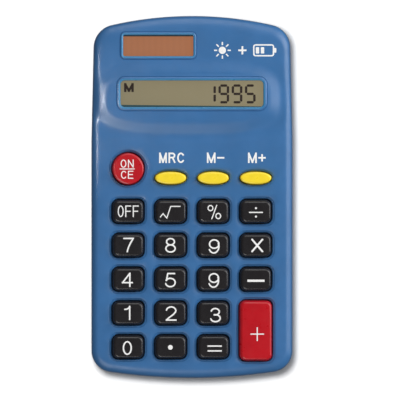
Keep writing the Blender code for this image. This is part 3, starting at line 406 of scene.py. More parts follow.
# the values that nearly all of a noise texture keeps to
NOISE_SPAN = (0.3, 0.7)
LOWEST_ROUGHNESS = 0.02

ROOM_SHARE = 0.13
FLOOR_SIZE = 3.0
# softboxes: (name, place, side, share of full exposure)
SUBJECT_LIGHTS = (
    ("right_softbox", (690.0, 330.0, 590.0), 800.0, 0.575),
    ("right_low_softbox", (900.0, 60.0, 100.0), 500.0, 0.02),
    ("back_softbox", (-40.0, 900.0, 600.0), 650.0, 0.15),
    ("front_softbox", (-330.0, -680.0, 780.0), 580.0, 0.25))
# the display lies deep in its opening, so its lamp shines past the rim
DISPLAY_LIGHTS = (("display_softbox", (450.0, 450.0, 450.0), 350.0, 0.82),)
FLOOR_LIGHTS = (
    ("floor_softbox", (-65.0, 75.0, 600.0), 140.0, 0.95),
    ("floor_wash", (0.0, 0.0, 900.0), 900.0, 0.25))
DISPLAY_PIECES = (
    "lcd_polariser", "display_digit", "display_memory_sign", "display_seal", "solar_cell", "solar_border")
# narrow lamps: (name, place, aimed at, lamp's radius, cone in degrees, share of full exposure)
ACCENT_LIGHTS = (
    ("pod_side_spot", (-270.0, 20.0, 420.0), (-30.9, 30.5, 11.5), 16.0, 2.2, 1.8),
    ("pod_low_side_spot", (-270.0, 0.0, 420.0), (-31.0, 23.5, 11.5), 18.0, 2.4, 2.4),
    ("pod_corner_spot", (-200.0, -170.0, 420.0), (-22.0, 21.5, 11.5), 36.0, 5.0, 0.62))
# width of the view at the keypad face, and the point under the camera
VIEW_WIDTH = 126.0
VIEW_CENTRE = (2.55, -0.95)
CAMERA_HEIGHT = 2500.0
SENSOR = 36.0
CLIP_START = 0.01
CLIP_END = 20.0


# ---- places from the CAD part ----

def node_box(node):
    """A CAD node's lowest and highest corners, in millimetres."""
    low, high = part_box(node)
    return low / MM, high / MM


def node_centre(node):
    """The middle of a CAD node's box, in plan."""
    low, high = node_box(node)
    return ((low.x + high.x) / 2, (low.y + high.y) / 2)


def named_nodes(start):
    """CAD nodes whose names begin this way."""
    return sorted(name for name in frame["nodes"] if name.startswith(start))


def key_nodes():
    """Every key of the part; each rides on a body of its own name."""
    return [name for name in named_nodes("key_") if name in frame["bodies"]]


CASE_LOW, CASE_HIGH = node_box("rear_shell")
CASE_HALF_WIDTH = CASE_HIGH.x
CASE_HALF_LENGTH = CASE_HIGH.y
REAR_FACE = CASE_LOW.z
REAR_RIM = CASE_HIGH.z - LIP_HEIGHT
FRONT_RIM = node_box("front_shell")[0].z
KEY_TOP = node_box("key_7")[1].z
DOOR_LOW, DOOR_HIGH = node_box("battery_door")
DOOR_JOINT = [joint for joint in frame["joints"] if joint["child"] == "battery_door"][0]
# the rounded hinge edge of the door; its tabs reach further under the case
DOOR_PLATE_LOW_Y = DOOR_JOINT["pos_m"][1] / MM - DOOR_THICKNESS / 2
CELL_CENTRE = node_centre("button_cell")
MEMBRANE_LOW, MEMBRANE_HIGH = node_box("keypad_membrane")


# ---- plans: closed outlines in x and y, anticlockwise ----

def arc(centre, radius, start, end, steps):
    """Points along an arc, both ends included; angles in radians."""
    points = []
    for step in range(steps + 1):
        angle = start + (end - start) * step / steps
        points.append((centre[0] + radius * math.cos(angle), centre[1] + radius * math.sin(angle)))
    return points


def ellipse(centre, half_width, half_height, power=2.0, count=ROUND_COUNT):
    """A superellipse; power 2 is an ellipse, and larger powers have squarer shoulders."""
    points = []
    for index in range(count):
        angle = 2 * math.pi * (index + 0.5) / count
        cosine, sine = math.cos(angle), math.sin(angle)
        x = half_width * math.copysign(abs(cosine) ** (2 / power), cosine)
        y = half_height * math.copysign(abs(sine) ** (2 / power), sine)
        points.append((centre[0] + x, centre[1] + y))
    return points


def circle(centre, radius, count=ROUND_COUNT):
    """A round outline."""
    return ellipse(centre, radius, radius, count=count)


def disc(radius, z, count=ROUND_COUNT):
    """A round outline about the piece's own axis, at one height."""
    return level(circle((0, 0), radius, count), z)


def rounded_rectangle(centre, size, radius, steps=CORNER_STEPS):
    """A rectangle with round corners."""
    points = []
    half = (size[0] / 2 - radius, size[1] / 2 - radius)
    for quarter, side in enumerate(((1, 1), (-1, 1), (-1, -1), (1, -1))):
        start = quarter * math.pi / 2
        corner = (centre[0] + side[0] * half[0], centre[1] + side[1] * half[1])
        points += arc(corner, radius, start, start + math.pi / 2, steps)
    return points


def moved(outline, place):
    """The same outline somewhere else."""
    return [(x + place[0], y + place[1]) for x, y in outline]


def ahead(point, run, share):
    """The place a share of a run beyond a point."""
    return (point[0] + run[0] * share, point[1] + run[1] * share)


def case_side(start, end):
    """Evenly spaced points along one side of the case, its ends left out."""
    run = (end[0] - start[0], end[1] - start[1])
    return [ahead(start, run, step / CASE_SIDE_STEPS) for step in range(1, CASE_SIDE_STEPS)]


def taper_at(y):
    """Width of the case at y, as a share of its full width."""
    return 1 - TAPER_PER_MM * max(0.0, y - TAPER_START)


def end_frame(bow_radius, corner_radius):
    """Centres of one end's bow and right corner, and the angle where they meet."""
    corner_x = CASE_HALF_WIDTH - corner_radius
    bow_y = CASE_HALF_LENGTH - bow_radius
    corner_y = bow_y + math.sqrt((bow_radius - corner_radius) ** 2 - corner_x ** 2)
    return bow_y, (corner_x, corner_y), math.atan2(corner_y - bow_y, corner_x)


def case_end(radii, inset):
    """One end of the case plan at +Y: corner, bowed edge, corner."""
    bow_y, (corner_x, corner_y), turn = end_frame(*radii)
    bow, corner = radii[0] - inset, radii[1] - inset
    right = arc((corner_x, corner_y), corner, 0.0, turn, CASE_CORNER_STEPS)
    middle = arc((0.0, bow_y), bow, turn, math.pi - turn, CASE_BOW_STEPS)
    left = arc((-corner_x, corner_y), corner, math.pi - turn, math.pi, CASE_CORNER_STEPS)
    return right + middle[1:-1] + left


def case_outline(inset, display_pull=0.0, keypad_pull=0.0):
    """Plan of the case, moved inwards by inset; each end can be pulled in further."""
    display_end = [(x, y - display_pull) for x, y in case_end(DISPLAY_END, inset)]
    keypad_end = [(-x, keypad_pull - y) for x, y in case_end(KEYPAD_END, inset)]
    left = case_side(display_end[-1], keypad_end[0])
    right = case_side(keypad_end[-1], display_end[0])
    return [(x * taper_at(y), y) for x, y in display_end + left + keypad_end + right]


def edge_distance(x, y):
    """How far a point lies inside the case plan."""
    bow_radius, corner_radius = DISPLAY_END if y > 0 else KEYPAD_END
    bow_y, (corner_x, corner_y), turn = end_frame(bow_radius, corner_radius)
    across, along = abs(x / taper_at(y)), abs(y)
    past_x, past_y = across - corner_x, along - corner_y
    if past_x > 0 and past_y > 0 and math.atan2(past_y, past_x) < turn:
        return corner_radius - math.hypot(past_x, past_y)
    return min(CASE_HALF_WIDTH - across, bow_radius - math.hypot(across, along - bow_y))


def roll_plan(roll, share):
    """Plan of the case at one share of a rolled edge."""
    width, display_pull, keypad_pull = roll
    return case_outline(SIDE_DRAFT + width * share, display_pull * share, keypad_pull * share)


def roll_share(roll, x, y):
    """Where a point lies on a rolled edge: 0 at the wall, 1 where the flat face starts."""
    width, display_pull, keypad_pull = roll
    pull = display_pull if y > 0 else -keypad_pull

    def spare(share):
        return edge_distance(x, y + pull * share) - SIDE_DRAFT - width * share

    if spare(1.0) >= 0:
        return 1.0
    low, high = 0.0, 1.0
    for _ in range(HALVINGS):
        middle = (low + high) / 2
        if spare(middle) > 0:
            low = middle
        else:
            high = middle
    return low


def roll_height(share):
    """Height over a quarter-round edge, as a share of its radius."""
    return math.sqrt(max(0.0, 1 - (1 - share) ** 2))


def holds(outline, x, y):
    """True if a convex outline holds the point."""
    before = outline[-1]
    for point in outline:
        if (point[0] - before[0]) * (y - before[1]) - (point[1] - before[1]) * (x - before[0]) < 0:
            return False
        before = point
    return True


def smooth(value):
    """An even ramp from 0 to 1 with soft ends."""
    value = min(1.0, max(0.0, value))
    return value * value * (3 - 2 * value)


def soft_step(distance, edge):
    """1 inside and 0 outside, with a soft ramp of one edge's width about the border."""
    return smooth(distance / edge + 0.5)


# ---- solids ----

def level(outline, z):
    """The outline at one height."""
    return [(x, y, z) for x, y in outline]


def in_plan(points):
    """Points without their heights."""
    return [(x, y) for x, y, _ in points]


def ring(mesh, points):
    """New vertices at these places."""
    return [mesh.verts.new([value * MM for value in point]) for point in points]


def bridge(mesh, first, second):
    """Faces between two matching loops of vertices."""
    for index in range(len(first)):
        following = (index + 1) % len(first)
        mesh.faces.new((first[index], first[following], second[following], second[index]))


def skin(mesh, start, rings):
    """Carry a loop of vertices on through more rings; returns the last loop."""
    for points in rings:
        following = ring(mesh, points)
        bridge(mesh, start, following)
        start = following
    return start


def loft(mesh, rings):
    """A closed body through matching rings, both ends capped."""
    start = ring(mesh, rings[0])
    mesh.faces.new(start)
    mesh.faces.new(skin(mesh, start, rings[1:]))


def spread(border, keep_out, fine_zone):
    """Points that carry a face's relief: close together in its fine zone, wide apart elsewhere."""
    xs, ys = zip(*border)
    points = []
    for pitch, wanted in ((FINE_PITCH, True), (COARSE_PITCH, False)):
        row_pitch = pitch * math.sqrt(3) / 2
        for row in range(int((max(ys) - min(ys)) / row_pitch)):
            y = min(ys) + (row + 0.5) * row_pitch
            for column in range(int((max(xs) - min(xs)) / pitch)):
                x = min(xs) + (column + 0.5 + (row % 2) / 2) * pitch
                if fine_zone(x, y) != wanted or not holds(border, x, y):
                    continue
                if not any(holds(outline, x, y) for outline in keep_out):
                    points.append((x, y))
    return points


def sheet(mesh, border, openings, inside, height):
    """Triangulate a face between its convex border and its convex openings.

    inside holds the extra points, and height(x, y) is the face's height. Returns the
    vertices of the border and then of each opening, in their own order.
    """
    points, owners, edges, starts = [], [], [], []
    for number, loop in enumerate([border] + openings):
        starts.append(len(points))
        for index in range(len(loop)):
            edges.append((starts[-1] + index, starts[-1] + (index + 1) % len(loop)))
        points += loop
        owners += [number] * len(loop)
    owners += [0] * len(inside)
    places = [Vector(point) for point in points + inside]
    corners, _, faces, sources = delaunay_2d_cdt(places, edges, [], 0, SAME_PLACE)[:4]
    made = ring(mesh, [(x, y, height(x, y)) for x, y in corners])
    vertex_of, owner_of = {}, {}
    for index, group in enumerate(sources):
        for source in group:
            vertex_of[source] = made[index]
            owner_of[index] = owners[source]
    for face in faces:
        touched = {owner_of[index] for index in face}
        if len(touched) > 1 or touched == {0}:
            mesh.faces.new([made[index] for index in face])
    return [
        [vertex_of[start + index] for index in range(len(loop))]
        for start, loop in zip(starts, [border] + openings)]


def slab(mesh, polygons, low, high):
    """A thin closed plate between two heights: the union of convex polygons."""
    points, faces = [], []
    for polygon in polygons:
        faces.append(list(range(len(points), len(points) + len(polygon))))
        points += [Vector(point) for point in polygon]
    corners, _, triangles, _, _, sources = delaunay_2d_cdt(points, [], faces, 1, 10 * SAME_PLACE)
    bottom, top = ring(mesh, level(corners, low)), ring(mesh, level(corners, high))
    sides = set()
    for triangle, source in zip(triangles, sources):
        if source:
            mesh.faces.new([top[index] for index in triangle])
            mesh.faces.new([bottom[index] for index in reversed(triangle)])
            sides.update(zip(triangle, triangle[1:] + triangle[:1]))
    for start, end in sorted(sides):
        if (end, start) not in sides:
            mesh.faces.new((top[start], bottom[start], bottom[end], top[end]))
    for vertex in [vertex for vertex in mesh.verts if not vertex.link_faces]:
        mesh.verts.remove(vertex)


def block(mesh, low, high, chamfer=BLOCK_CHAMFER):
    """A box whose upright and level edges are all cut back a little."""
    centre = ((low[0] + high[0]) / 2, (low[1] + high[1]) / 2)
    size = (high[0] - low[0], high[1] - low[1])
    full = rounded_rectangle(centre, size, chamfer, BLOCK_STEPS)
    end_size = (size[0] - chamfer, size[1] - chamfer)
    small = rounded_rectangle(centre, end_size, chamfer * BLOCK_END_CORNER, BLOCK_STEPS)
    rings = ((small, low[2]), (full, low[2] + chamfer / 2), (full, high[2] - chamfer / 2), (small, high[2]))
    loft(mesh, [level(outline, z) for outline, z in rings])


def make_piece(name, mesh, body, slot, replaced=None, centre=(0.0, 0.0), finish=None):
    """Turn a bmesh into a shown piece that rides on a body of the part."""
    bmesh.ops.recalc_face_normals(mesh, faces=mesh.faces[:])
    data = bpy.data.meshes.new(name)
    mesh.to_mesh(data)
    mesh.free()
    data.materials.append(finish_of(finish or slot))
    data.shade_smooth()
    data.set_sharp_from_angle(angle=SHARP_ANGLE)
    piece = bpy.data.objects.new(name, data)
    piece.location = (centre[0] * MM, centre[1] * MM, 0.0)
    bpy.context.scene.collection.objects.link(piece)
    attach(piece, body)
    if replaced:
        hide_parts(replaced)
    return piece


# ---- finishes ----

class Finish:
    """A node material under construction: one Principled shader and what drives it."""

    def __init__(self, name, colour, roughness, metallic=0.0, **inputs):
        self.material = bpy.data.materials.new(name)
        self.material.use_nodes = True
        self.tree = self.material.node_tree
        self.shader = self.tree.nodes["Principled BSDF"]
        self.colour = colour
        self.roughness = roughness
        self.place = self.tree.nodes.new("ShaderNodeTexCoord").outputs["Object"]
        self.normal = None
        self.fill(
            self.shader, {}, Base_Color=(*colour, 1.0), Roughness=roughness, Metallic=metallic, **inputs)

    def fill(self, node, links, **inputs):
        """Link sockets to a node's inputs, and set plain values of others."""
        for name, socket in links.items():
            self.tree.links.new(socket, node.inputs[name])
        for name, value in inputs.items():
            node.inputs[name.replace("_", " ")].default_value = value

    def node(self, kind, links, **inputs):
        """A new node with its inputs linked and set."""
        node = self.tree.nodes.new(f"ShaderNode{kind}")
        self.fill(node, links, **inputs)
        return node

    def noise(self, grain, detail=3.0, stretch=(1.0, 1.0, 1.0)):
        """Noise between 0 and 1 whose grains are so many millimetres wide."""
        vector = self.node("Mapping", {"Vector": self.place}, Scale=stretch).outputs["Vector"]
        return self.node("TexNoise", {"Vector": vector}, Scale=1 / (grain * MM), Detail=detail).outputs["Fac"]

    def bands(self, pitch, distortion=0.0):
        """Soft parallel bands, so many millimetres apart."""
        scale = math.pi / 10 / (pitch * MM)
        return self.node("TexWave", {"Vector": self.place}, Scale=scale, Distortion=distortion).outputs["Fac"]

    def remap(self, socket, from_low, from_high, to_low=0.0, to_high=1.0):
        """Stretch a range of values to another, clamped."""
        ends = {"From_Min": from_low, "From_Max": from_high, "To_Min": to_low, "To_Max": to_high}
        return self.node("MapRange", {"Value": socket}, **ends).outputs["Result"]

    def tint(self, socket, low, high):
        """Blend between two shares of the base colour."""
        node = self.tree.nodes.new("ShaderNodeMix")
        node.data_type = "RGBA"
        self.fill(node, {"Factor": socket})
        for name, share in (("A", low), ("B", high)):
            colour = [min(1.0, value * share) for value in self.colour]
            sockets = [item for item in node.inputs if item.name == name and item.type == "RGBA"]
            sockets[0].default_value = (*colour, 1.0)
        result = [item for item in node.outputs if item.type == "RGBA"][0]
        self.fill(self.shader, {"Base Color": result})

    def polish(self, socket, swing):
        """Let the roughness swing both ways about its base value."""
        low = max(LOWEST_ROUGHNESS, self.roughness - swing)
        result = self.remap(socket, *NOISE_SPAN, low, self.roughness + swing)
        self.fill(self.shader, {"Roughness": result})

    def relief(self, socket, depth):
        """Bump by a texture whose full height is so many millimetres; calls add up."""
        links = {"Height": socket}
        if self.normal is not None:
            links["Normal"] = self.normal
        self.normal = self.node("Bump", links, Distance=depth * MM).outputs["Normal"]
        self.fill(self.shader, {"Normal": self.normal})


# below, noise takes (grain, detail, stretch), tint two shares, polish a swing, relief a depth

def moulded_plastic(name, colour, roughness):
    """Injection-moulded plastic: spark-eroded grain, faint flow shades, fine rub marks."""
    finish = Finish(name, colour, roughness, IOR=1.5)
    finish.tint(finish.remap(finish.noise(9.0, 4.0), 0.35, 0.65), 0.95, 1.05)
    finish.polish(finish.noise(2.5, 6.0), 0.05)
    finish.relief(finish.noise(0.3, 2.0), 0.003)
    finish.relief(finish.remap(finish.noise(0.5, 2.0, (0.06, 1.0, 1.0)), 0.66, 0.7), -0.001)


def key_plastic(name, colour, roughness):
    """Glossier plastic with a slight waviness."""
    finish = Finish(name, colour, roughness, IOR=1.5)
    finish.tint(finish.remap(finish.noise(3.0), *NOISE_SPAN), 0.96, 1.04)
    finish.polish(finish.noise(2.0), 0.04)
    finish.relief(finish.noise(0.22, 2.0), 0.001)
    finish.relief(finish.noise(3.0, 1.0), 0.005)


def printed_ink(name, colour):
    """Pad-printed ink: slightly uneven, with a soft matt surface."""
    finish = Finish(name, colour, 0.45)
    finish.tint(finish.noise(0.4), 0.94, 1.0)
    finish.polish(finish.noise(0.3), 0.08)
    finish.relief(finish.noise(0.12, 2.0), 0.002)


def clear_window(name, colour):
    """Clear acrylic: nearly all see-through, with a faint gloss."""
    finish = Finish(name, colour, 0.08, Alpha=0.04, IOR=1.4)
    finish.polish(finish.noise(6.0, 4.0, (1.0, 0.2, 1.0)), 0.03)


def liquid_crystal(name, colour):
    """The display's khaki film: an even tone with a slow drift."""
    finish = Finish(name, colour, 0.5, Specular_IOR_Level=0.2)
    finish.tint(finish.noise(18.0, 2.0), 0.94, 1.06)
    finish.polish(finish.noise(2.0), 0.04)


def display_ink(name, colour):
    """Switched-on segments, and the painted shadows along the windows: matt and a little uneven."""
    finish = Finish(name, colour, 0.5, Specular_IOR_Level=0.1)
    finish.tint(finish.noise(0.6), 0.8, 1.2)
    finish.polish(finish.noise(0.5), 0.04)


def solar_film(name, colour):
    """Amorphous silicon under glass: brown-red with faint upright stripes."""
    finish = Finish(name, colour, 0.3)
    finish.tint(finish.remap(finish.bands(1.9, 0.6), 0.0, 1.0, 0.2, 0.8), 0.97, 1.03)
    finish.polish(finish.noise(4.0, 2.0), 0.03)


def worked_metal(name, colour, roughness, stretch=(1.0, 0.05, 1.0)):
    """Rolled or turned metal with fine drawn lines and a few dull patches."""
    finish = Finish(name, colour, roughness, 1.0)
    lines = finish.noise(0.12, 3.0, stretch)
    finish.tint(finish.noise(1.5, 4.0), 0.8, 1.08)
    finish.polish(lines, 0.1)
    finish.relief(lines, 0.002)


def rubber(name, colour, roughness):
    """Moulded rubber: matt, dusty and slightly pitted."""
    finish = Finish(name, colour, roughness)
    finish.tint(finish.noise(0.8, 5.0), 0.8, 1.35)
    finish.polish(finish.noise(0.5, 4.0), 0.06)
    finish.relief(finish.noise(0.18, 4.0), 0.008)


def banded_rubber(name, colour):
    """The connector strip: thin conducting layers between clear ones."""
    finish = Finish(name, colour, 0.6)
    finish.tint(finish.bands(0.25), 0.45, 1.05)
    finish.polish(finish.noise(0.5), 0.05)


def laminate(name, colour):
    """Paper laminate: long fibres under a thin lacquer."""
    finish = Finish(name, colour, 0.42)
    finish.tint(finish.noise(0.7, 6.0, (0.15, 1.0, 1.0)), 0.75, 1.2)
    finish.polish(finish.noise(1.5, 4.0), 0.08)
    finish.relief(finish.noise(0.25, 4.0, (0.2, 1.0, 1.0)), 0.004)


def smooth_finish(name, colour, roughness, metallic=0.0):
    """Small smooth goods: sleeves, films, insulation and epoxy."""
    finish = Finish(name, colour, roughness, metallic)
    finish.tint(finish.noise(1.2, 4.0), 0.88, 1.1)
    finish.polish(finish.noise(0.8, 4.0), 0.06)
    finish.relief(finish.noise(0.3), 0.002)


# (what makes it, colour, then its roughness and what else it takes)
FINISHES = {
    "shell_blue": (moulded_plastic, (0.04, 0.15, 0.356), 0.36),
    "key_black": (key_plastic, (0.0135, 0.0118, 0.0132), 0.27),
    "key_red": (key_plastic, (0.49, 0.004, 0.011), 0.3),
    "key_yellow": (key_plastic, (0.96, 0.72, 0.03), 0.3),
    "legend_white": (printed_ink, (0.93, 0.93, 0.92)),
    "window_clear": (clear_window, (0.2, 0.22, 0.21)),
    "lcd_glass": (smooth_finish, (0.27, 0.24, 0.14), 0.2),
    "polariser_film": (liquid_crystal, (0.29, 0.245, 0.142)),
    "reflector_film": (smooth_finish, (0.55, 0.53, 0.45), 0.3, 0.4),
    "frame_white": (moulded_plastic, (0.78, 0.78, 0.75), 0.5),
    "strip_pink": (banded_rubber, (0.75, 0.42, 0.42)),
    "solar_silicon": (solar_film, (0.43, 0.163, 0.072)),
    "board_laminate": (laminate, (0.3, 0.19, 0.07)),
    "chip_epoxy": (smooth_finish, (0.015, 0.015, 0.017), 0.3),
    "capacitor_sleeve": (smooth_finish, (0.02, 0.03, 0.09), 0.35),
    "membrane_silicone": (rubber, (0.45, 0.46, 0.46), 0.65),
    "cell_nickel": (worked_metal, (0.62, 0.61, 0.58), 0.25),
    "contact_steel": (worked_metal, (0.66, 0.64, 0.6), 0.28),
    "screw_steel": (worked_metal, (0.42, 0.42, 0.43), 0.3, (1.0, 1.0, 0.1)),
    "wire_red": (smooth_finish, (0.55, 0.02, 0.02), 0.45),
    "wire_black": (smooth_finish, (0.02, 0.02, 0.02), 0.45),
    "foot_rubber": (rubber, (0.03, 0.03, 0.03), 0.8),
    "display_ink": (display_ink, (0.024, 0.012, 0.008)),
    # a lighter blue than the case, which paints a highlight on the windows' inner edges
    "window_trim": (key_plastic, (0.043, 0.225, 0.44), 0.3),
    # the next two colours paint the shadows that the window rims cast on the display and on the solar cell
    "display_seal": (display_ink, (0.03, 0.075, 0.085)),
    "solar_border": (display_ink, (0.015, 0.035, 0.05)),
}


def finish_of(slot):
    """The material of one slot, made the first time it is asked for."""
    name = f"finish_{slot}"
    if name not in bpy.data.materials:
        make_finish, *values = FINISHES[slot]
        make_finish(name, *values)
    return bpy.data.materials[name]


def slot_of(node):
    """The record's material slot of a CAD node."""
    return [item["material_slot"] for item in frame["record"]["subparts"] if item["node"] == node][0]


def finish_nodes():
    """Give every CAD node the finish of its slot."""
    for name, node in frame["nodes"].items():
        node.data.materials.clear()
        node.data.materials.append(finish_of(slot_of(name)))


# ---- shells: an outer face with openings, a rolled edge, and a rim ----

def shell_skin(mesh, openings, ring_at, border_step, fine_zone, height, wall):
    """The outer face and side of a shell; returns the mouths of its openings and its inner loop.

    Openings are (plan, rim width), ring_at(share) is a ring on the rolled edge, and wall
    holds the (inset, height) steps round the rim.
    """
    shares = [(1 - math.cos(math.pi / 2 * step / ROLL_STEPS)) for step in range(border_step + 1)]
    border = in_plan(ring_at(shares[border_step]))
    margin = in_plan(ring_at(shares[border_step] + BORDER_MARGIN))
    keep_out = [plan(-rim - FINE_PITCH / 2) for plan, rim in openings]
    inside = spread(margin, keep_out, fine_zone)
    edge, *mouths = sheet(mesh, border, [plan(-rim) for plan, rim in openings], inside, height)
    outer = skin(mesh, edge, [ring_at(share) for share in reversed(shares[:border_step])])
    return mouths, skin(mesh, outer, [level(case_outline(inset), z) for inset, z in wall])


def add_opening(mesh, mouth, plan, steps, below=()):
    """Walls of one opening: (inset, height) steps from its mouth, then whole rings."""
    heights = [vertex.co.z / MM for vertex in mouth]
    rings = []
    for inset, up in steps:
        rings.append([(x, y, z + up) for (x, y), z in zip(plan(inset), heights)])
    return skin(mesh, mouth, rings + list(below))


def pod_depth(x, y):
    """Roughly how far a point lies inside the pod's outline."""
    across = abs(x - POD_CENTRE[0]) / POD_HALF_WIDTH
    along = abs(y - POD_CENTRE[1]) / POD_HALF_HEIGHT
    reach = (across ** POD_POWER + along ** POD_POWER) ** (1 / POD_POWER)
    if reach < POD_CORE:
        return POD_HALF_HEIGHT
    scale = reach ** (1 - POD_POWER)
    steep_x = across ** (POD_POWER - 1) / POD_HALF_WIDTH * scale
    steep_y = along ** (POD_POWER - 1) / POD_HALF_HEIGHT * scale
    return (1 - reach) / math.hypot(steep_x, steep_y)


def pod_relief(x, y):
    """Height of the pod above the keypad face, with the shallow groove that runs round it."""
    depth = pod_depth(x, y)
    far = smooth((y - POD_FAR_Y[0]) / (POD_FAR_Y[1] - POD_FAR_Y[0]))
    foot, crown = (near + (far_end - near) * far for near, far_end in zip(POD_SLOPE, POD_FAR_SLOPE))
    rise = POD_RISE * smooth((depth - foot) / (crown - foot))
    along = (depth - GROOVE_MIDDLE) / GROOVE_REACH
    if abs(along) >= 1:
        return rise
    fade = smooth((GROOVE_FADE_Y[1] - y) / (GROOVE_FADE_Y[1] - GROOVE_FADE_Y[0]))
    return rise - GROOVE_DEPTH * fade * (1 - along * along) ** 2


def front_level(x, y, share):
    """Height of the front shell's outer face at one share of its rolled edge."""
    roll = roll_height(share)
    return KEYPAD_FACE - FRONT_ROUND * (1 - roll) + pod_relief(x, y) * roll ** 2


def front_height(x, y):
    """Height of the front shell's outer face."""
    return front_level(x, y, roll_share(FRONT_ROLL, x, y))


def front_ring(share):
    """A ring on the front shell's rolled edge."""
    return [(x, y, front_level(x, y, share)) for x, y in roll_plan(FRONT_ROLL, share)]


def front_fine_zone(x, y):
    """The front face needs close points on the pod's slope, in its groove and at rolled ends."""
    return abs(pod_depth(x, y)) < POD_FINE_REACH or roll_share(FRONT_ROLL, x, y) < ROLL_FINE_SHARE


def funnel(width):
    """(inset, height) steps down the flared rim of a key's opening."""
    return [(-width * across, -width * down) for across, down in RIM_STEPS]


def bead(width):
    """(inset, height) steps over a window's rim: a narrow groove, a raised bead, a sharp drop."""
    steps = [(-width + BEAD_GROOVE_WIDTH * BEAD_GROOVE_START, -BEAD_GROOVE)]
    start, reach = BEAD_GROOVE_WIDTH - width, width - BEAD_GROOVE_WIDTH - BEAD_EDGE
    for step in range(BEAD_STEPS + 1):
        share = step / BEAD_STEPS
        rise = BEAD_RISE * math.sin(math.pi * (BEAD_WAVE[0] + BEAD_WAVE[1] * share))
        steps.append((start + reach * share, rise))
    return steps + [(-BEAD_EDGE * BEAD_EDGE_STEP[0], -BEAD_EDGE * BEAD_EDGE_STEP[1]), (0.0, -BEAD_EDGE)]


def key_shape(name):
    """A key's plan about its own centre, its stem's radius, its edge and its opening's rim."""
    low, high = node_box(name)
    half_width = (high.x - low.x) / 2 - KEY_FLANGE
    half_height = (high.y - low.y) / 2 - KEY_FLANGE

    def oval(inset):
        return ellipse((0, 0), half_width - inset, half_height - inset, OVAL_POWER)

    def cap(inset):
        size = (2 * (half_width - inset), 2 * (half_height - inset))
        return rounded_rectangle((0, 0), size, KEY_CORNER - inset * CORNER_FOLLOW)

    if name == "key_on_clear":
        return lambda inset: circle((0, 0), half_width - inset), STEM_RADIUS, ROUND_EDGE_STEPS, KEY_RIM
    if name.startswith("key_memory"):
        return oval, OVAL_STEM_RADIUS, ROUND_EDGE_STEPS, OVAL_RIM
    return cap, STEM_RADIUS, KEY_EDGE_STEPS, KEY_RIM


def key_opening(name):
    """Plan of the opening round a key, and the width of its flared rim."""
    plan, _, _, rim = key_shape(name)
    return lambda inset: moved(plan(inset - KEY_GAP), node_centre(name)), rim


def window_opening(node):
    """Plan of a window's opening, and the width of its rim."""
    size, rim, corner = WINDOWS[node]

    def plan(inset):
        return rounded_rectangle(
            node_centre(node), (size[0] - 2 * inset, size[1] - 2 * inset), corner - inset)

    return plan, rim


def front_openings():
    """(plan, rim width, rim steps, rings below the rim) of every opening."""
    openings = []
    for name in key_nodes():
        plan, rim = key_opening(name)
        openings.append((plan, rim, funnel(rim), [level(plan(0.0), FRONT_CEILING)]))
    for node in WINDOWS:
        plan, rim = window_opening(node)
        low, high = node_box(node)
        ceiling = high.z + GLAZING_GAP
        size = (high.x - low.x + POCKET_SPARE, high.y - low.y + POCKET_SPARE)
        pocket = rounded_rectangle(node_centre(node), size, POCKET_CORNER)
        below = [level(plan(0.0), ceiling), level(pocket, ceiling), level(pocket, FRONT_CEILING)]
        openings.append((plan, rim, bead(rim), below))
    return openings


def make_front_shell():
    """The blue top moulding with its pod, rolled edges, openings and window pockets."""
    openings = front_openings()
    mesh = bmesh.new()
    wall = (
        (SEAM_STEP[0], FRONT_RIM + SEAM_STEP[1]), (SEAM_CHAMFER, FRONT_RIM), (RABBET, FRONT_RIM),
        (RABBET, FRONT_RIM + LIP_HEIGHT), (WALL, FRONT_RIM + LIP_HEIGHT))
    mouths, inner = shell_skin(
        mesh, [(plan, rim) for plan, rim, _, _ in openings], front_ring, FRONT_BORDER_STEP,
        front_fine_zone, front_height, wall)
    ends = [in_plan(below[-1]) for _, _, _, below in openings]
    ceiling = sheet(mesh, case_outline(WALL + SIDE_DRAFT), ends, [], lambda x, y: FRONT_CEILING)
    bridge(mesh, inner, ceiling[0])
    for mouth, (plan, _, steps, below), end in zip(mouths, openings, ceiling[1:]):
        bridge(mesh, add_opening(mesh, mouth, plan, steps, below[:-1]), end)
    make_piece("front_moulding", mesh, "case", "shell_blue", "front_shell")


def rear_height(x, y):
    """Height of the rear shell's outer face, with the fingernail notch beside the door."""
    along = (y - DOOR_HIGH.y - DOOR_GAP) / NOTCH_REACH
    notch = 0.0
    if NOTCH_RANGE[0] < along < NOTCH_RANGE[1]:
        side = soft_step(NOTCH_HALF_WIDTH - abs(x - CELL_CENTRE[0]), NOTCH_SIDE)
        notch = NOTCH_DEPTH * side * math.sqrt(1 - max(0.0, along) ** 2)
    return REAR_FACE + REAR_ROUND * (1 - roll_height(roll_share(REAR_ROLL, x, y))) + notch


def rear_ring(share):
    """A ring on the rear shell's rolled edge."""
    return level(roll_plan(REAR_ROLL, share), REAR_FACE + REAR_ROUND * (1 - roll_height(share)))


def rear_fine_zone(x, y):
    """The rear face needs close points on its rolled edge and in the notch."""
    away = (abs(x - CELL_CENTRE[0]), abs(y - DOOR_HIGH.y))
    near_notch = away[0] < NOTCH_FINE_ZONE[0] and away[1] < NOTCH_FINE_ZONE[1]
    return near_notch or edge_distance(x, y) < SIDE_DRAFT + REAR_ROUND


def door_opening(inset):
    """Plan of the opening that the battery door closes."""
    spare = 2 * (DOOR_GAP - inset)
    size = (DOOR_HIGH.x - DOOR_LOW.x + spare, DOOR_HIGH.y - DOOR_PLATE_LOW_Y + spare)
    centre = (CELL_CENTRE[0], (DOOR_PLATE_LOW_Y + DOOR_HIGH.y) / 2)
    return rounded_rectangle(centre, size, DOOR_CORNER - inset)


def round_opening(node, radius, facets):
    """Plan of a round opening at a node."""
    return lambda inset: circle(node_centre(node), radius - inset, facets)


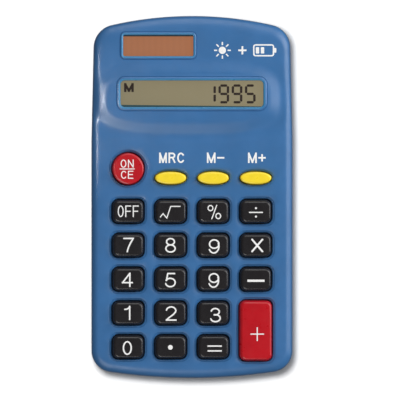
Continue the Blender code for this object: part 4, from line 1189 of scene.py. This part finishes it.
def make_rear_shell():
    """The blue bottom moulding: rolled edge, screw wells, foot recesses, door opening and notch."""
    screws, feet = named_nodes("case_screw_"), named_nodes("foot_")
    posts = [node_centre(node) for node in screws]
    plans = [door_opening]
    plans += [round_opening(node, WELL_RADIUS, WELL_FACETS) for node in screws]
    for node in feet:
        low, high = node_box(node)
        plans.append(round_opening(node, (high.x - low.x) / 2 + FOOT_RECESS_SPARE, ROUND_COUNT))
    mesh = bmesh.new()
    wall = (
        (SEAM_STEP[0], REAR_RIM - SEAM_STEP[1]), (SEAM_CHAMFER, REAR_RIM), (LIP_OUTER, REAR_RIM),
        (LIP_OUTER, REAR_RIM + LIP_HEIGHT), (WALL, REAR_RIM + LIP_HEIGHT), (WALL, REAR_FACE + REAR_ROUND))
    mouths, inner = shell_skin(
        mesh, [(plan, REAR_LIP) for plan in plans], rear_ring, REAR_BORDER_STEP,
        rear_fine_zone, rear_height, wall)

    def floor_height(x, y):
        nearest = min(math.dist((x, y), post) for post in posts)
        rise = REAR_RIM - POST_GAP - REAR_FLOOR
        return REAR_FLOOR + rise * smooth((POST_RADIUS + POST_SLOPE - nearest) / POST_SLOPE)

    room = case_outline(FLOOR_ROOM)
    around = []
    for post in posts:
        for radius in (POST_RADIUS, POST_RADIUS + POST_SLOPE):
            around += [point for point in circle(post, radius, WELL_FACETS) if holds(room, *point)]
    floor = sheet(mesh, case_outline(FLOOR_EDGE), [door_opening(0.0)], around, floor_height)
    bridge(mesh, inner, floor[0])
    angles = [math.pi / 2 * step / REAR_LIP_STEPS for step in range(1, REAR_LIP_STEPS + 1)]
    steps = [(-REAR_LIP * (1 - math.sin(angle)), REAR_LIP * (1 - math.cos(angle))) for angle in angles]
    necks = [add_opening(mesh, mouth, plan, steps) for mouth, plan in zip(mouths, plans)]
    bridge(mesh, necks[0], floor[1])
    tops = [WELL_SEAT] * len(screws) + [FOOT_RECESS_TOP] * len(feet)
    for neck, plan, top in zip(necks[1:], plans[1:], tops):
        mesh.faces.new(skin(mesh, neck, [level(plan(0.0), top)]))
    make_piece("rear_moulding", mesh, "case", "shell_blue", "rear_shell")


# ---- keys ----

def make_key(name):
    """A hollow cap with a retaining flange and a stem, its top rounded over and set off-centre."""
    plan, stem_radius, edge, _ = key_shape(name)
    stem = circle((0, 0), stem_radius, len(plan(0.0)))
    steps = [
        (stem, KEY_STEM_FOOT), (stem, KEY_ROOF_INSIDE), (plan(KEY_WALL), KEY_ROOF_INSIDE),
        (plan(KEY_WALL), KEY_SKIRT_FOOT), (plan(-KEY_FLANGE), KEY_SKIRT_FOOT),
        (plan(-KEY_FLANGE), KEY_FLANGE_TOP), (plan(0.0), KEY_FLANGE_TOP)]
    for inset, drop, share in edge:
        shift = [value * share for value in KEY_TOP_SHIFT]
        steps.append((moved(plan(inset), shift), KEY_TOP - drop))
    mesh = bmesh.new()
    loft(mesh, [level(outline, z) for outline, z in steps])
    make_piece(f"cap_{name[4:]}", mesh, name, slot_of(name), name, node_centre(name))


def make_membrane():
    """The rubber sheet over the board, with a hole round each screw that goes through it."""
    low, high = MEMBRANE_LOW, MEMBRANE_HIGH
    border = [(low.x, low.y), (high.x, low.y), (high.x, high.y), (low.x, high.y)]
    screws = [node_centre(node) for node in named_nodes("board_screw_")]
    holes = [circle(place, POST_HOLE_RADIUS, HOLE_FACETS) for place in screws if place[1] < high.y]
    mesh = bmesh.new()
    upper = sheet(mesh, border, holes, [], lambda x, y: low.z + MEMBRANE_THICKNESS)
    lower = sheet(mesh, border, holes, [], lambda x, y: low.z)
    for above, below in zip(upper, lower):
        bridge(mesh, above, below)
    make_piece("membrane_sheet", mesh, "case", "membrane_silicone", "keypad_membrane")


def make_dome(joint):
    """The rubber dome under one key."""
    key = joint["child"]
    x, y = node_centre(key)
    foot = MEMBRANE_LOW.z + MEMBRANE_THICKNESS
    rise = MEMBRANE_HIGH.z - foot
    mesh = bmesh.new()
    loft(mesh, [disc(radius, foot + rise * up) for radius, up in DOME_STEPS])
    dome = make_piece(f"dome_{key[4:]}", mesh, "case", "membrane_silicone", None, (x, y))
    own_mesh(dome)


# ---- legends ----

def bend(x, y, half_width, half_height, start, end, steps=18):
    """Part of an ellipse in a glyph's unit box; angles in degrees."""
    points = []
    for step in range(steps + 1):
        angle = math.radians(start + (end - start) * step / steps)
        points.append((x + half_width * math.cos(angle), y + half_height * math.sin(angle)))
    return points


# centre lines of the signs in a unit box: lists of points, closed where their ends meet
STEM = [(0, 0), (0, 1)]
TOP_BAR = [(0, 1), (1, 1)]
FOOT_BAR = [(0, 0), (1, 0)]
RIGHT_STEM = [(1, 0), (1, 1)]
GLYPHS = {
    "0": [bend(0.5, 0.5, 0.5, 0.5, 0, 360, 36)],
    "1": [RIGHT_STEM, [(1, 1), (0.78, 0.86), (0.42, 0.79), (0, 0.77)]],
    "2": [bend(0.5, 0.72, 0.5, 0.28, 170, -25) + [(0.72, 0.42), (0.3, 0.2), (0.08, 0.07), (0, 0)], FOOT_BAR],
    "3": [bend(0.46, 0.755, 0.44, 0.245, 165, -90), bend(0.48, 0.265, 0.52, 0.265, 90, -168),
          [(0.36, 0.52), (0.5, 0.52)]],
    "4": [[(0.76, 0), (0.76, 1)], [(0.76, 1), (0, 0.28)], [(0, 0.28), (1, 0.28)]],
    "5": [[(0.93, 1), (0.2, 1), (0.07, 0.48)], bend(0.48, 0.32, 0.52, 0.32, 148, -165)],
    "7": [TOP_BAR, [(1, 1), (0.72, 0.67), (0.5, 0.34), (0.4, 0.12), (0.37, 0)]],
    "8": [bend(0.5, 0.765, 0.42, 0.235, 0, 360, 30), bend(0.5, 0.265, 0.5, 0.265, 0, 360, 30)],
    "9": [bend(0.5, 0.68, 0.5, 0.32, 0, 360, 30), bend(0.46, 0.5, 0.54, 0.5, 25, -150)],
    "C": [bend(0.54, 0.5, 0.54, 0.5, 42, 318, 28)],
    "E": [STEM, TOP_BAR, [(0, 0.53), (0.9, 0.53)], FOOT_BAR],
    "F": [STEM, TOP_BAR, [(0, 0.5), (0.88, 0.5)]],
    "M": [STEM, [(0, 1), (0.5, 0)], [(0.5, 0), (1, 1)], RIGHT_STEM],
    "N": [STEM, [(0, 1), (1, 0)], RIGHT_STEM],
    "O": [bend(0.5, 0.5, 0.5, 0.5, 0, 360, 36)],
    "R": [STEM, [(0, 1)] + bend(0.55, 0.76, 0.42, 0.24, 90, -90) + [(0, 0.52)], [(0.6, 0.52), (1, 0)]],
    "X": [[(0, 0), (1, 1)], [(0, 1), (1, 0)]],
    "-": [[(0, 0.5), (1, 0.5)]],
    "+": [[(0, 0.5), (1, 0.5)], [(0.5, 0), (0.5, 1)]],
    "=": [FOOT_BAR, TOP_BAR],
    "%": [bend(0.19, 0.8, 0.19, 0.2, 0, 360, 24), bend(0.81, 0.2, 0.19, 0.2, 0, 360, 24),
          [(0.3, 0), (0.68, 1)]],
}


def stroke(path, width):
    """A stroked centre line as convex quads that share their mitred corners."""
    closed = math.dist(path[0], path[-1]) < SAME_PLACE
    runs = []
    for (ax, ay), (bx, by) in zip(path, path[1:]):
        size = math.hypot(bx - ax, by - ay)
        runs.append(((bx - ax) / size, (by - ay) / size))
    sides = []
    for index, (x, y) in enumerate(path):
        if closed:
            before, after = runs[index - 1], runs[index % len(runs)]
        else:
            before, after = runs[max(index - 1, 0)], runs[min(index, len(runs) - 1)]
            overrun = width / 2 * ((index == len(runs)) - (index == 0))
            x, y = ahead((x, y), before, overrun)
        across = (-(before[1] + after[1]), before[0] + after[0])
        size = math.hypot(*across)
        reach = width / size / max(size, MITRE_LIMIT)
        sides.append([ahead((x, y), across, side) for side in (reach, -reach)])
    return [[near[1], far[1], far[0], near[0]] for near, far in zip(sides, sides[1:])]


def clipped(polygon, low, high):
    """The part of a convex polygon inside a box."""
    for axis in (0, 1):
        for limit, sign in ((low[axis], 1), (high[axis], -1)):
            kept = []
            for index, point in enumerate(polygon):
                before = polygon[index - 1]
                spare, spare_before = (point[axis] - limit) * sign, (before[axis] - limit) * sign
                if spare * spare_before < 0:
                    share = spare_before / (spare_before - spare)
                    kept.append(tuple(b + (p - b) * share for b, p in zip(before, point)))
                if spare >= 0:
                    kept.append(point)
            polygon = kept
    return polygon


def glyph(sign, centre, size, width):
    """Polygons of one sign that fill a box exactly."""
    low = (centre[0] - size[0] / 2, centre[1] - size[1] / 2)
    high = (centre[0] + size[0] / 2, centre[1] + size[1] / 2)
    start = (low[0] + width / 2, low[1] + width / 2)
    polygons = []
    for path in GLYPHS[sign]:
        placed = [(start[0] + x * (size[0] - width), start[1] + y * (size[1] - width)) for x, y in path]
        quads = [clipped(quad, low, high) for quad in stroke(placed, width)]
        polygons += [quad for quad in quads if len(quad) > 2]
    return polygons


def text_polygons(text, centre, size, width):
    """Polygons of a word, or of a named sign, that fill a box."""
    if text == "root":
        room = (size[0] - width, size[1] - width)
        path = [((x - 0.5) * room[0], (y - 0.5) * room[1]) for x, y in ROOT_PATH]
        return stroke([ahead(centre, place, 1) for place in path], width)
    if text == "divide":
        radius = width * DIVIDE_DOT
        reach = size[1] / 2 - radius
        dots = [circle((centre[0], centre[1] + side * reach), radius, SMALL_DOT_FACETS) for side in (-1, 1)]
        return glyph("-", centre, (size[0], width), width) + dots
    if text == "dot":
        return [circle(centre, size[0] / 2, DOT_FACETS)]
    shares = [GLYPH_WIDTHS.get(sign, 1.0) for sign in text]
    unit = (size[0] - GLYPH_GAP * (len(text) - 1)) / sum(shares)
    x = centre[0] - size[0] / 2
    polygons = []
    for sign, share in zip(text, shares):
        wide = unit * share
        box = (wide, wide) if len(text) > 1 and sign in "+-" else (wide, size[1])
        polygons += glyph(sign, (x + wide / 2, centre[1]), box, width)
        x += wide + GLYPH_GAP
    return polygons


def make_ink(name, polygons, surface, body="case", slot="legend_white", centre=(0.0, 0.0), finish=None):
    """A thin film of ink, or of painted shadow, that sinks into a surface and stands a little proud of it."""
    mesh = bmesh.new()
    slab(mesh, polygons, surface - INK_DEPTH, surface + INK_RISE)
    make_piece(name, mesh, body, slot, None, centre, finish)


def make_key_legends():
    """White signs on the tops of the keys."""
    for key, marks in KEY_LEGENDS.items():
        polygons = sum((text_polygons(*mark) for mark in marks), [])
        node = f"key_{key}"
        make_ink(f"legend_{key}", polygons, KEY_TOP, node, centre=node_centre(node))


def make_shell_legends():
    """White words over the oval keys."""
    for key, (text, offset, width) in SHELL_LEGENDS.items():
        centre = moved([node_centre(f"key_{key}")], offset)[0]
        polygons = text_polygons(text, centre, (width, SHELL_LEGEND_HEIGHT), SHELL_LEGEND_STROKE)
        make_ink(f"label_{key}", polygons, KEYPAD_FACE)


def make_pictograms():
    """A sun, a plus sign and a battery: generic signs for solar and battery power."""
    sun = (SUN_X, PICTOGRAM_Y)
    polygons = [circle(sun, SUN_RADIUS, DOT_FACETS)]
    for ray in range(SUN_RAYS):
        angle = 2 * math.pi / SUN_RAYS * ray
        run = (math.cos(angle), math.sin(angle))
        polygons += stroke([ahead(sun, run, reach) for reach in SUN_RAY_REACH], SUN_RAY_STROKE)
    make_ink("pictogram_sun", polygons, KEYPAD_FACE)
    polygons = glyph("+", (PLUS_X, PICTOGRAM_Y), (PLUS_SIZE, PLUS_SIZE), PLUS_STROKE)
    make_ink("pictogram_plus", polygons, KEYPAD_FACE)
    outline = rounded_rectangle((BATTERY_X, PICTOGRAM_Y), BATTERY_SIZE, BATTERY_CORNER)
    polygons = stroke(outline + outline[:1], BATTERY_STROKE)
    for along, size, corner in BATTERY_FILLS:
        polygons.append(rounded_rectangle((BATTERY_X + along, PICTOGRAM_Y), size, corner, SMALL_CORNER_STEPS))
    make_ink("pictogram_battery", polygons, KEYPAD_FACE)


# ---- display and windows ----

def segment(start, end):
    """One bar of a display digit: it stops a gap short of both points, and its ends are pointed."""
    size = math.dist(start, end)
    along = ((end[0] - start[0]) / size, (end[1] - start[1]) / size)
    across = (-along[1] * SEGMENT_WIDTH / 2, along[0] * SEGMENT_WIDTH / 2)
    first, last = ahead(start, along, SEGMENT_GAP), ahead(end, along, -SEGMENT_GAP)
    middle = [ahead(first, along, SEGMENT_POINT), ahead(last, along, -SEGMENT_POINT)]
    side = [(first, -SEGMENT_TIP), (middle[0], -1), (middle[1], -1), (last, -SEGMENT_TIP)]
    side += [(point, -reach) for point, reach in reversed(side)]
    return [ahead(point, across, reach) for point, reach in side]


def digit_segments(sign, centre):
    """The switched-on bars of one display digit."""
    half = [(value - SEGMENT_WIDTH) / 2 for value in DIGIT_SIZE]
    polygons = []
    for letter in SEGMENTS_ON[sign]:
        start, end = ((x * half[0], y * half[1]) for x, y in SEGMENT_ENDS[letter])
        polygons.append(moved(segment(start, end), centre))
    return polygons


def make_display_ink(name, polygons, node, finish):
    """Dark ink, or a painted shadow, on a plate of the display or the solar cell."""
    slots = {"lcd_polariser": "lcd_glass", "solar_cell": "solar_silicon"}
    make_ink(name, polygons, node_box(node)[1].z, slot=slots[node], finish=finish)


def make_display_signs():
    """The number and the memory sign that the display shows."""
    x, y = node_centre("display_window")
    for place, sign in enumerate(reversed(DISPLAY_TEXT)):
        bars = digit_segments(sign, (x + LAST_DIGIT_X - place * DIGIT_PITCH, y))
        make_display_ink(f"display_digit_{place}", bars, "lcd_polariser", "display_ink")
    text, offset, size, width = MEMORY_SIGN
    polygons = text_polygons(text, (x + offset[0], y + offset[1]), size, width)
    make_display_ink("display_memory_sign", polygons, "lcd_polariser", "display_ink")


def make_painted_window_shadows():
    """Painted shadows: a dark wedge along the display's lower edge and a dark bar along the solar cell's top
    edge, where the rims shade them.
    """
    x, y = node_centre("display_window")
    width, height = WINDOWS["display_window"][0]
    left, right = x - (width / 2 + PAINTED_SHADOW_SPARE), x + (width / 2 + PAINTED_SHADOW_SPARE)
    low_y = y - height / 2
    # painted shadow: a dark wedge where the display's lower rim shades the display
    wedge = [
        (left, low_y - PAINTED_SHADOW_SPARE), (right, low_y - PAINTED_SHADOW_SPARE),
        (right, low_y + SHADOW_WEDGE_HEIGHTS[1]), (left, low_y + SHADOW_WEDGE_HEIGHTS[0])]
    make_display_ink("display_seal", [wedge], "lcd_polariser", "display_seal")
    # painted shadow: a dark bar where the solar window's upper rim shades the cell
    x, y = node_centre("solar_window")
    width, height = WINDOWS["solar_window"][0]
    centre = (x, y + height / 2 + PAINTED_SHADOW_SPARE / 2 - SOLAR_SHADOW_HEIGHT / 2)
    size = (width + 2 * PAINTED_SHADOW_SPARE, SOLAR_SHADOW_HEIGHT + PAINTED_SHADOW_SPARE)
    border = rounded_rectangle(centre, size, SOLAR_SHADOW_HEIGHT / 4, SMALL_CORNER_STEPS)
    make_display_ink("solar_border", [border], "solar_cell", "solar_border")


def make_window_trim(node):
    """The inner edge of a window's bead, in a lighter blue than the case: a painted highlight."""
    plan, rim = window_opening(node)
    heights = [front_height(x, y) for x, y in plan(-rim)]
    rings = [[(x, y, z + up) for (x, y), z in zip(plan(inset), heights)] for inset, up in TRIM_STEPS]
    mesh = bmesh.new()
    first = ring(mesh, rings[0])
    bridge(mesh, skin(mesh, first, rings[1:]), first)
    make_piece(node.replace("window", "trim"), mesh, "case", "shell_blue", finish="window_trim")


# ---- battery bay and door ----

def make_battery_bay():
    """The open box over the cell: side walls, end wall, roof and a fence below the contacts."""
    left, right, end = DOOR_LOW.x - DOOR_GAP, DOOR_HIGH.x + DOOR_GAP, DOOR_HIGH.y + DOOR_GAP
    near, far = FENCE_Y
    ceiling, roof = BAY_ROOF
    wide = (left - BAY_OVERLAP, right + BAY_OVERLAP)
    mesh = bmesh.new()
    for low, high in (
            ((left - BAY_WALL, near, BAY_FOOT), (left, end + BAY_WALL, roof)),
            ((right, near, BAY_FOOT), (right + BAY_WALL, end + BAY_WALL, roof)),
            ((wide[0], end, BAY_FOOT), (wide[1], end + BAY_WALL, roof)),
            ((wide[0], near, ceiling), (wide[1], end + BAY_OVERLAP, roof)),
            ((wide[0], near, FENCE_Z[0]), (wide[1], far, FENCE_Z[1]))):
        block(mesh, low, high)
    make_piece("battery_bay", mesh, "case", "shell_blue")


def grip_depth(x, y):
    """Depth of the finger grooves across the door's outer face."""
    run = (y - DOOR_HIGH.y) / GRIP_PITCH + GRIP_FROM_EDGE
    if not 0 <= run <= GRIP_COUNT:
        return 0.0
    side = soft_step(NOTCH_HALF_WIDTH - abs(x - CELL_CENTRE[0]), GRIP_FADE)
    return GRIP_DEPTH * side * smooth(1 - abs(run % 1.0 - 0.5) * 4)


def edge_drop(distance, radius):
    """How far a rounded edge falls away at a distance from the side."""
    if distance >= radius:
        return 0.0
    return radius - math.sqrt(max(0.0, radius ** 2 - (radius - distance) ** 2))


def door_level(side, x, y):
    """Height of the door's outer face (side -1) or inner face (side 1)."""
    half = DOOR_THICKNESS / 2
    inside = min(x - DOOR_LOW.x, DOOR_HIGH.x - x, DOOR_HIGH.y - y)
    drop = max(edge_drop(inside, DOOR_EDGE), edge_drop(y - DOOR_PLATE_LOW_Y, half))
    if side < 0:
        drop += grip_depth(x, y)
    return DOOR_LOW.z + half + side * (half - drop)


def grid_lines(low, high, low_round, high_round, pitch):
    """Places along one axis, close together over the rounded edges."""
    steps = [1 - math.cos(math.pi / 2 * step / EDGE_STEPS) for step in range(EDGE_STEPS)]
    start, end = low + low_round, high - high_round
    count = max(2, round((end - start) / pitch))
    middle = [start + (end - start) * step / count for step in range(count + 1)]
    after = [high - high_round * step for step in reversed(steps)]
    return [low + low_round * step for step in steps] + middle + after


def grid_rim(rows):
    """The vertices round a grid, in order."""
    inner = rows[1:-1]
    return rows[0] + [row[-1] for row in inner] + rows[-1][::-1] + [row[0] for row in reversed(inner)]


def make_battery_door():
    """A thin lid with finger grooves, a half-round hinge edge and two hooked tabs."""
    half = DOOR_THICKNESS / 2
    xs = grid_lines(DOOR_LOW.x, DOOR_HIGH.x, DOOR_EDGE, DOOR_EDGE, DOOR_PITCH_X)
    ys = grid_lines(DOOR_PLATE_LOW_Y, DOOR_HIGH.y, half, DOOR_EDGE, DOOR_PITCH_Y)
    mesh = bmesh.new()
    faces = []
    for side in (-1, 1):
        rows = [ring(mesh, [(x, y, door_level(side, x, y)) for x in xs]) for y in ys]
        for near, far in zip(rows, rows[1:]):
            for column in range(len(xs) - 1):
                corners = (near[column], near[column + 1], far[column + 1], far[column])
                mesh.faces.new(corners[::side])
        faces.append(rows)
    bridge(mesh, *(grid_rim(rows) for rows in faces))
    bmesh.ops.remove_doubles(mesh, verts=mesh.verts[:], dist=SAME_PLACE / 10)
    bmesh.ops.dissolve_degenerate(mesh, edges=mesh.edges[:], dist=SAME_PLACE / 100)
    far = DOOR_PLATE_LOW_Y + half + TAB_ROOT
    for side in (-1, 1):
        x = CELL_CENTRE[0] + side * TAB_OFFSET
        left, right = x - TAB_WIDTH / 2, x + TAB_WIDTH / 2
        root = (left, DOOR_PLATE_LOW_Y + TAB_START, DOOR_LOW.z + half)
        hook = (left, DOOR_LOW.y, DOOR_HIGH.z - TAB_THICKNESS)
        for low in (root, hook):
            block(mesh, low, (right, far, DOOR_HIGH.z), TAB_CHAMFER)
    make_piece("battery_door_leaf", mesh, "battery_door", "shell_blue", "battery_door")


# ---- screws, feet and the cell ----

def cross(x, y, half_width, reach, side_edge, end_edge):
    """1 inside a cross about the piece's own axis and 0 outside it, with soft edges."""
    arms = []
    for along, across in ((abs(x), abs(y)), (abs(y), abs(x))):
        arms.append(soft_step(half_width - across, side_edge) * soft_step(reach - along, end_edge))
    return max(arms)


def sole_points(radius, reach, count):
    """A square grid of points, this many to a radius, within a share of the radius."""
    steps = range(-count, count + 1)
    points = [(radius * column / count, radius * row / count) for row in steps for column in steps]
    return [point for point in points if math.hypot(*point) < radius * reach]


def make_turned(name, slot, node, facets, face, profile):
    """A round piece of the case: a face below, then rings of (radius, height) up to its top.

    The face is (its radius, the points on it, its height at a point).
    """
    radius, points, height = face
    mesh = bmesh.new()
    edge = sheet(mesh, circle((0, 0), radius, facets), [], points, height)[0]
    mesh.faces.new(skin(mesh, edge, [disc(out, z, facets) for out, z in profile]))
    make_piece(name, mesh, "case", slot, node, node_centre(node))


def make_screw(node):
    """A pan-head screw with a cross recess and a threaded shank, head down."""
    low, high = node_box(node)
    radius = (high.x - low.x) / 2
    shank = radius * SCREW_SHANK
    head_top = low.z + SCREW_HEAD

    def sole(x, y):
        recess = cross(x, y, RECESS_WIDTH / 2, radius * RECESS_REACH, RECESS_SIDE, RECESS_END)
        return low.z + SCREW_DOME * (x * x + y * y) / radius ** 2 + RECESS_DEPTH * recess

    profile = []
    for step in range(1, SCREW_EDGE_STEPS + 1):
        angle = math.pi / 2 * step / SCREW_EDGE_STEPS
        out = radius * (SCREW_FACE + (1 - SCREW_FACE) * math.sin(angle))
        profile.append((out, low.z + SCREW_EDGE[0] + SCREW_EDGE[1] * (1 - math.cos(angle))))
    profile += [(radius, head_top), (shank, head_top)]
    thread = high.z - head_top - SCREW_TIP_LENGTH
    for step in range(SCREW_THREADS * 2):
        share = SCREW_THREAD_ROOT if step % 2 else 1.0
        profile.append((shank * share, head_top + thread * (step + 1) / (SCREW_THREADS * 2)))
    profile.append((shank * SCREW_TIP, high.z))
    points = sole_points(radius, SCREW_FACE_POINTS, SCREW_GRID)
    face = (radius * SCREW_FACE, points, sole)
    make_turned(f"pan_{node}", "screw_steel", node, SCREW_FACETS, face, profile)


def make_cell():
    """The button cell: a flat can, sole down, with a stamped plus sign and a smaller cap above."""
    low, high = node_box("button_cell")
    radius = (high.x - low.x) / 2

    def sole(x, y):
        plus = cross(x, y, *CELL_PLUS, CELL_PLUS_EDGE, CELL_PLUS_EDGE)
        rim = smooth((math.hypot(x, y) - radius * CELL_DISC) / CELL_DISC_EDGE)
        return low.z + CELL_PLUS_DEPTH * plus + CELL_DISC_DEPTH * (1 - rim)

    profile = [(radius * share, low.z + up) for share, up in CELL_STEPS] + [(radius * CELL_CAP, high.z)]
    points = sole_points(radius, CELL_SOLE_POINTS, CELL_GRID)
    face = (radius * CELL_SOLE, points, sole)
    make_turned("coin_cell", "cell_nickel", "button_cell", CELL_FACETS, face, profile)


def make_foot(node):
    """A rubber button with a rounded rim and a shallow ring on its sole."""
    low, high = node_box(node)
    radius = (high.x - low.x) / 2
    steps = [(radius * share + more, low.z + up) for share, more, up in FOOT_STEPS]
    mesh = bmesh.new()
    loft(mesh, [disc(out, z) for out, z in steps + [(radius, high.z)]])
    make_piece(f"pad_{node}", mesh, "case", "foot_rubber", node, node_centre(node))


# ---- surroundings ----

def make_floor():
    """A plain pale floor."""
    mesh = bmesh.new()
    bmesh.ops.create_grid(mesh, x_segments=1, y_segments=1, size=FLOOR_SIZE)
    data = bpy.data.meshes.new("floor")
    mesh.to_mesh(data)
    mesh.free()
    finish = Finish("floor_paper", (0.93, 0.93, 0.93), 0.9)
    finish.tint(finish.noise(40.0), 0.995, 1.0)
    data.materials.append(finish.material)
    floor = bpy.data.objects.new("floor", data)
    bpy.context.scene.collection.objects.link(floor)
    floor.visible_diffuse = False
    floor.visible_glossy = False
    floor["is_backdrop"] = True
    return floor


def make_world():
    """Even, soft room light."""
    world = bpy.data.worlds.new("studio")
    world.use_nodes = True
    background = world.node_tree.nodes["Background"]
    background.inputs["Color"].default_value = (1.0, 1.0, 1.0, 1.0)
    background.inputs["Strength"].default_value = ROOM_SHARE
    bpy.context.scene.world = world


def add_light(data, place, direction, receivers):
    """Put a lamp in its place, facing one way; it only lights its receivers."""
    light = bpy.data.objects.new(data.name, data)
    light.location = [value * MM for value in place]
    light.rotation_euler = direction.to_track_quat("-Z", "Y").to_euler()
    light.light_linking.receiver_collection = receivers
    bpy.context.scene.collection.objects.link(light)
    return light


def make_softbox(receivers, name, place, side, share):
    """A square area light that faces the object and gives a share of full exposure there."""
    reach = math.hypot(*place) * MM
    data = bpy.data.lights.new(name, "AREA")
    data.shape = "SQUARE"
    data.size = side * MM
    data.energy = share * (math.pi * reach) ** 2 / (place[2] * MM / reach)
    light = add_light(data, place, -Vector(place), receivers)
    light.visible_camera = False
    return light


def make_spot(receivers, name, place, target, radius, cone, share):
    """A narrow lamp aimed at one place on the object; it only adds gloss there."""
    ray = (Vector(target) - Vector(place)) * MM
    data = bpy.data.lights.new(name, "SPOT")
    data.shadow_soft_size = radius * MM
    data.spot_size = math.radians(cone)
    data.spot_blend = 1.0
    data.energy = share * 4 * (math.pi * ray.length) ** 2 * ray.length / abs(ray.z)
    add_light(data, place, ray, receivers).visible_diffuse = False


def light_group(name, objects):
    """A collection that a light can be limited to."""
    group = bpy.data.collections.new(name)
    for item in objects:
        group.objects.link(item)
    return group


def light_scene(floor):
    """Light on the object, mostly from the right; the floor has lamps of its own."""
    display = [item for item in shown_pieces() if item.name.startswith(DISPLAY_PIECES)]
    lit_subject = light_group("lit_subject", [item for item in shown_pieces() if item not in display])
    lit_display = light_group("lit_display", display)
    lit_floor = light_group("lit_floor", [floor])
    for lamp in SUBJECT_LIGHTS:
        make_softbox(lit_subject, *lamp)
    for lamp in DISPLAY_LIGHTS:
        make_softbox(lit_display, *lamp).light_linking.blocker_collection = lit_display
    for lamp in FLOOR_LIGHTS:
        make_softbox(lit_floor, *lamp)
    for lamp in ACCENT_LIGHTS:
        make_spot(lit_subject, *lamp)


def make_camera():
    """A long lens straight above the keypad face."""
    data = bpy.data.cameras.new("camera")
    data.sensor_width = SENSOR
    data.lens = SENSOR * (CAMERA_HEIGHT - KEYPAD_FACE) / VIEW_WIDTH
    data.clip_start = CLIP_START
    data.clip_end = CLIP_END
    camera = bpy.data.objects.new("camera", data)
    camera.location = (VIEW_CENTRE[0] * MM, VIEW_CENTRE[1] * MM, CAMERA_HEIGHT * MM)
    bpy.context.scene.collection.objects.link(camera)
    bpy.context.scene.camera = camera


def main():
    """The whole calculator and its surroundings."""
    bpy.context.scene.view_settings.view_transform = "Standard"
    finish_nodes()
    make_front_shell()
    make_rear_shell()
    make_battery_bay()
    make_battery_door()
    for name in key_nodes():
        make_key(name)
    make_key_legends()
    make_shell_legends()
    make_pictograms()
    make_display_signs()
    make_painted_window_shadows()
    for node in WINDOWS:
        make_window_trim(node)
    for node in named_nodes("case_screw_"):
        make_screw(node)
    for node in named_nodes("foot_"):
        make_foot(node)
    make_membrane()
    for joint in frame["joints"]:
        if joint["child"] in key_nodes():
            make_dome(joint)
    make_cell()
    floor = make_floor()
    make_world()
    light_scene(floor)
    make_camera()


main()
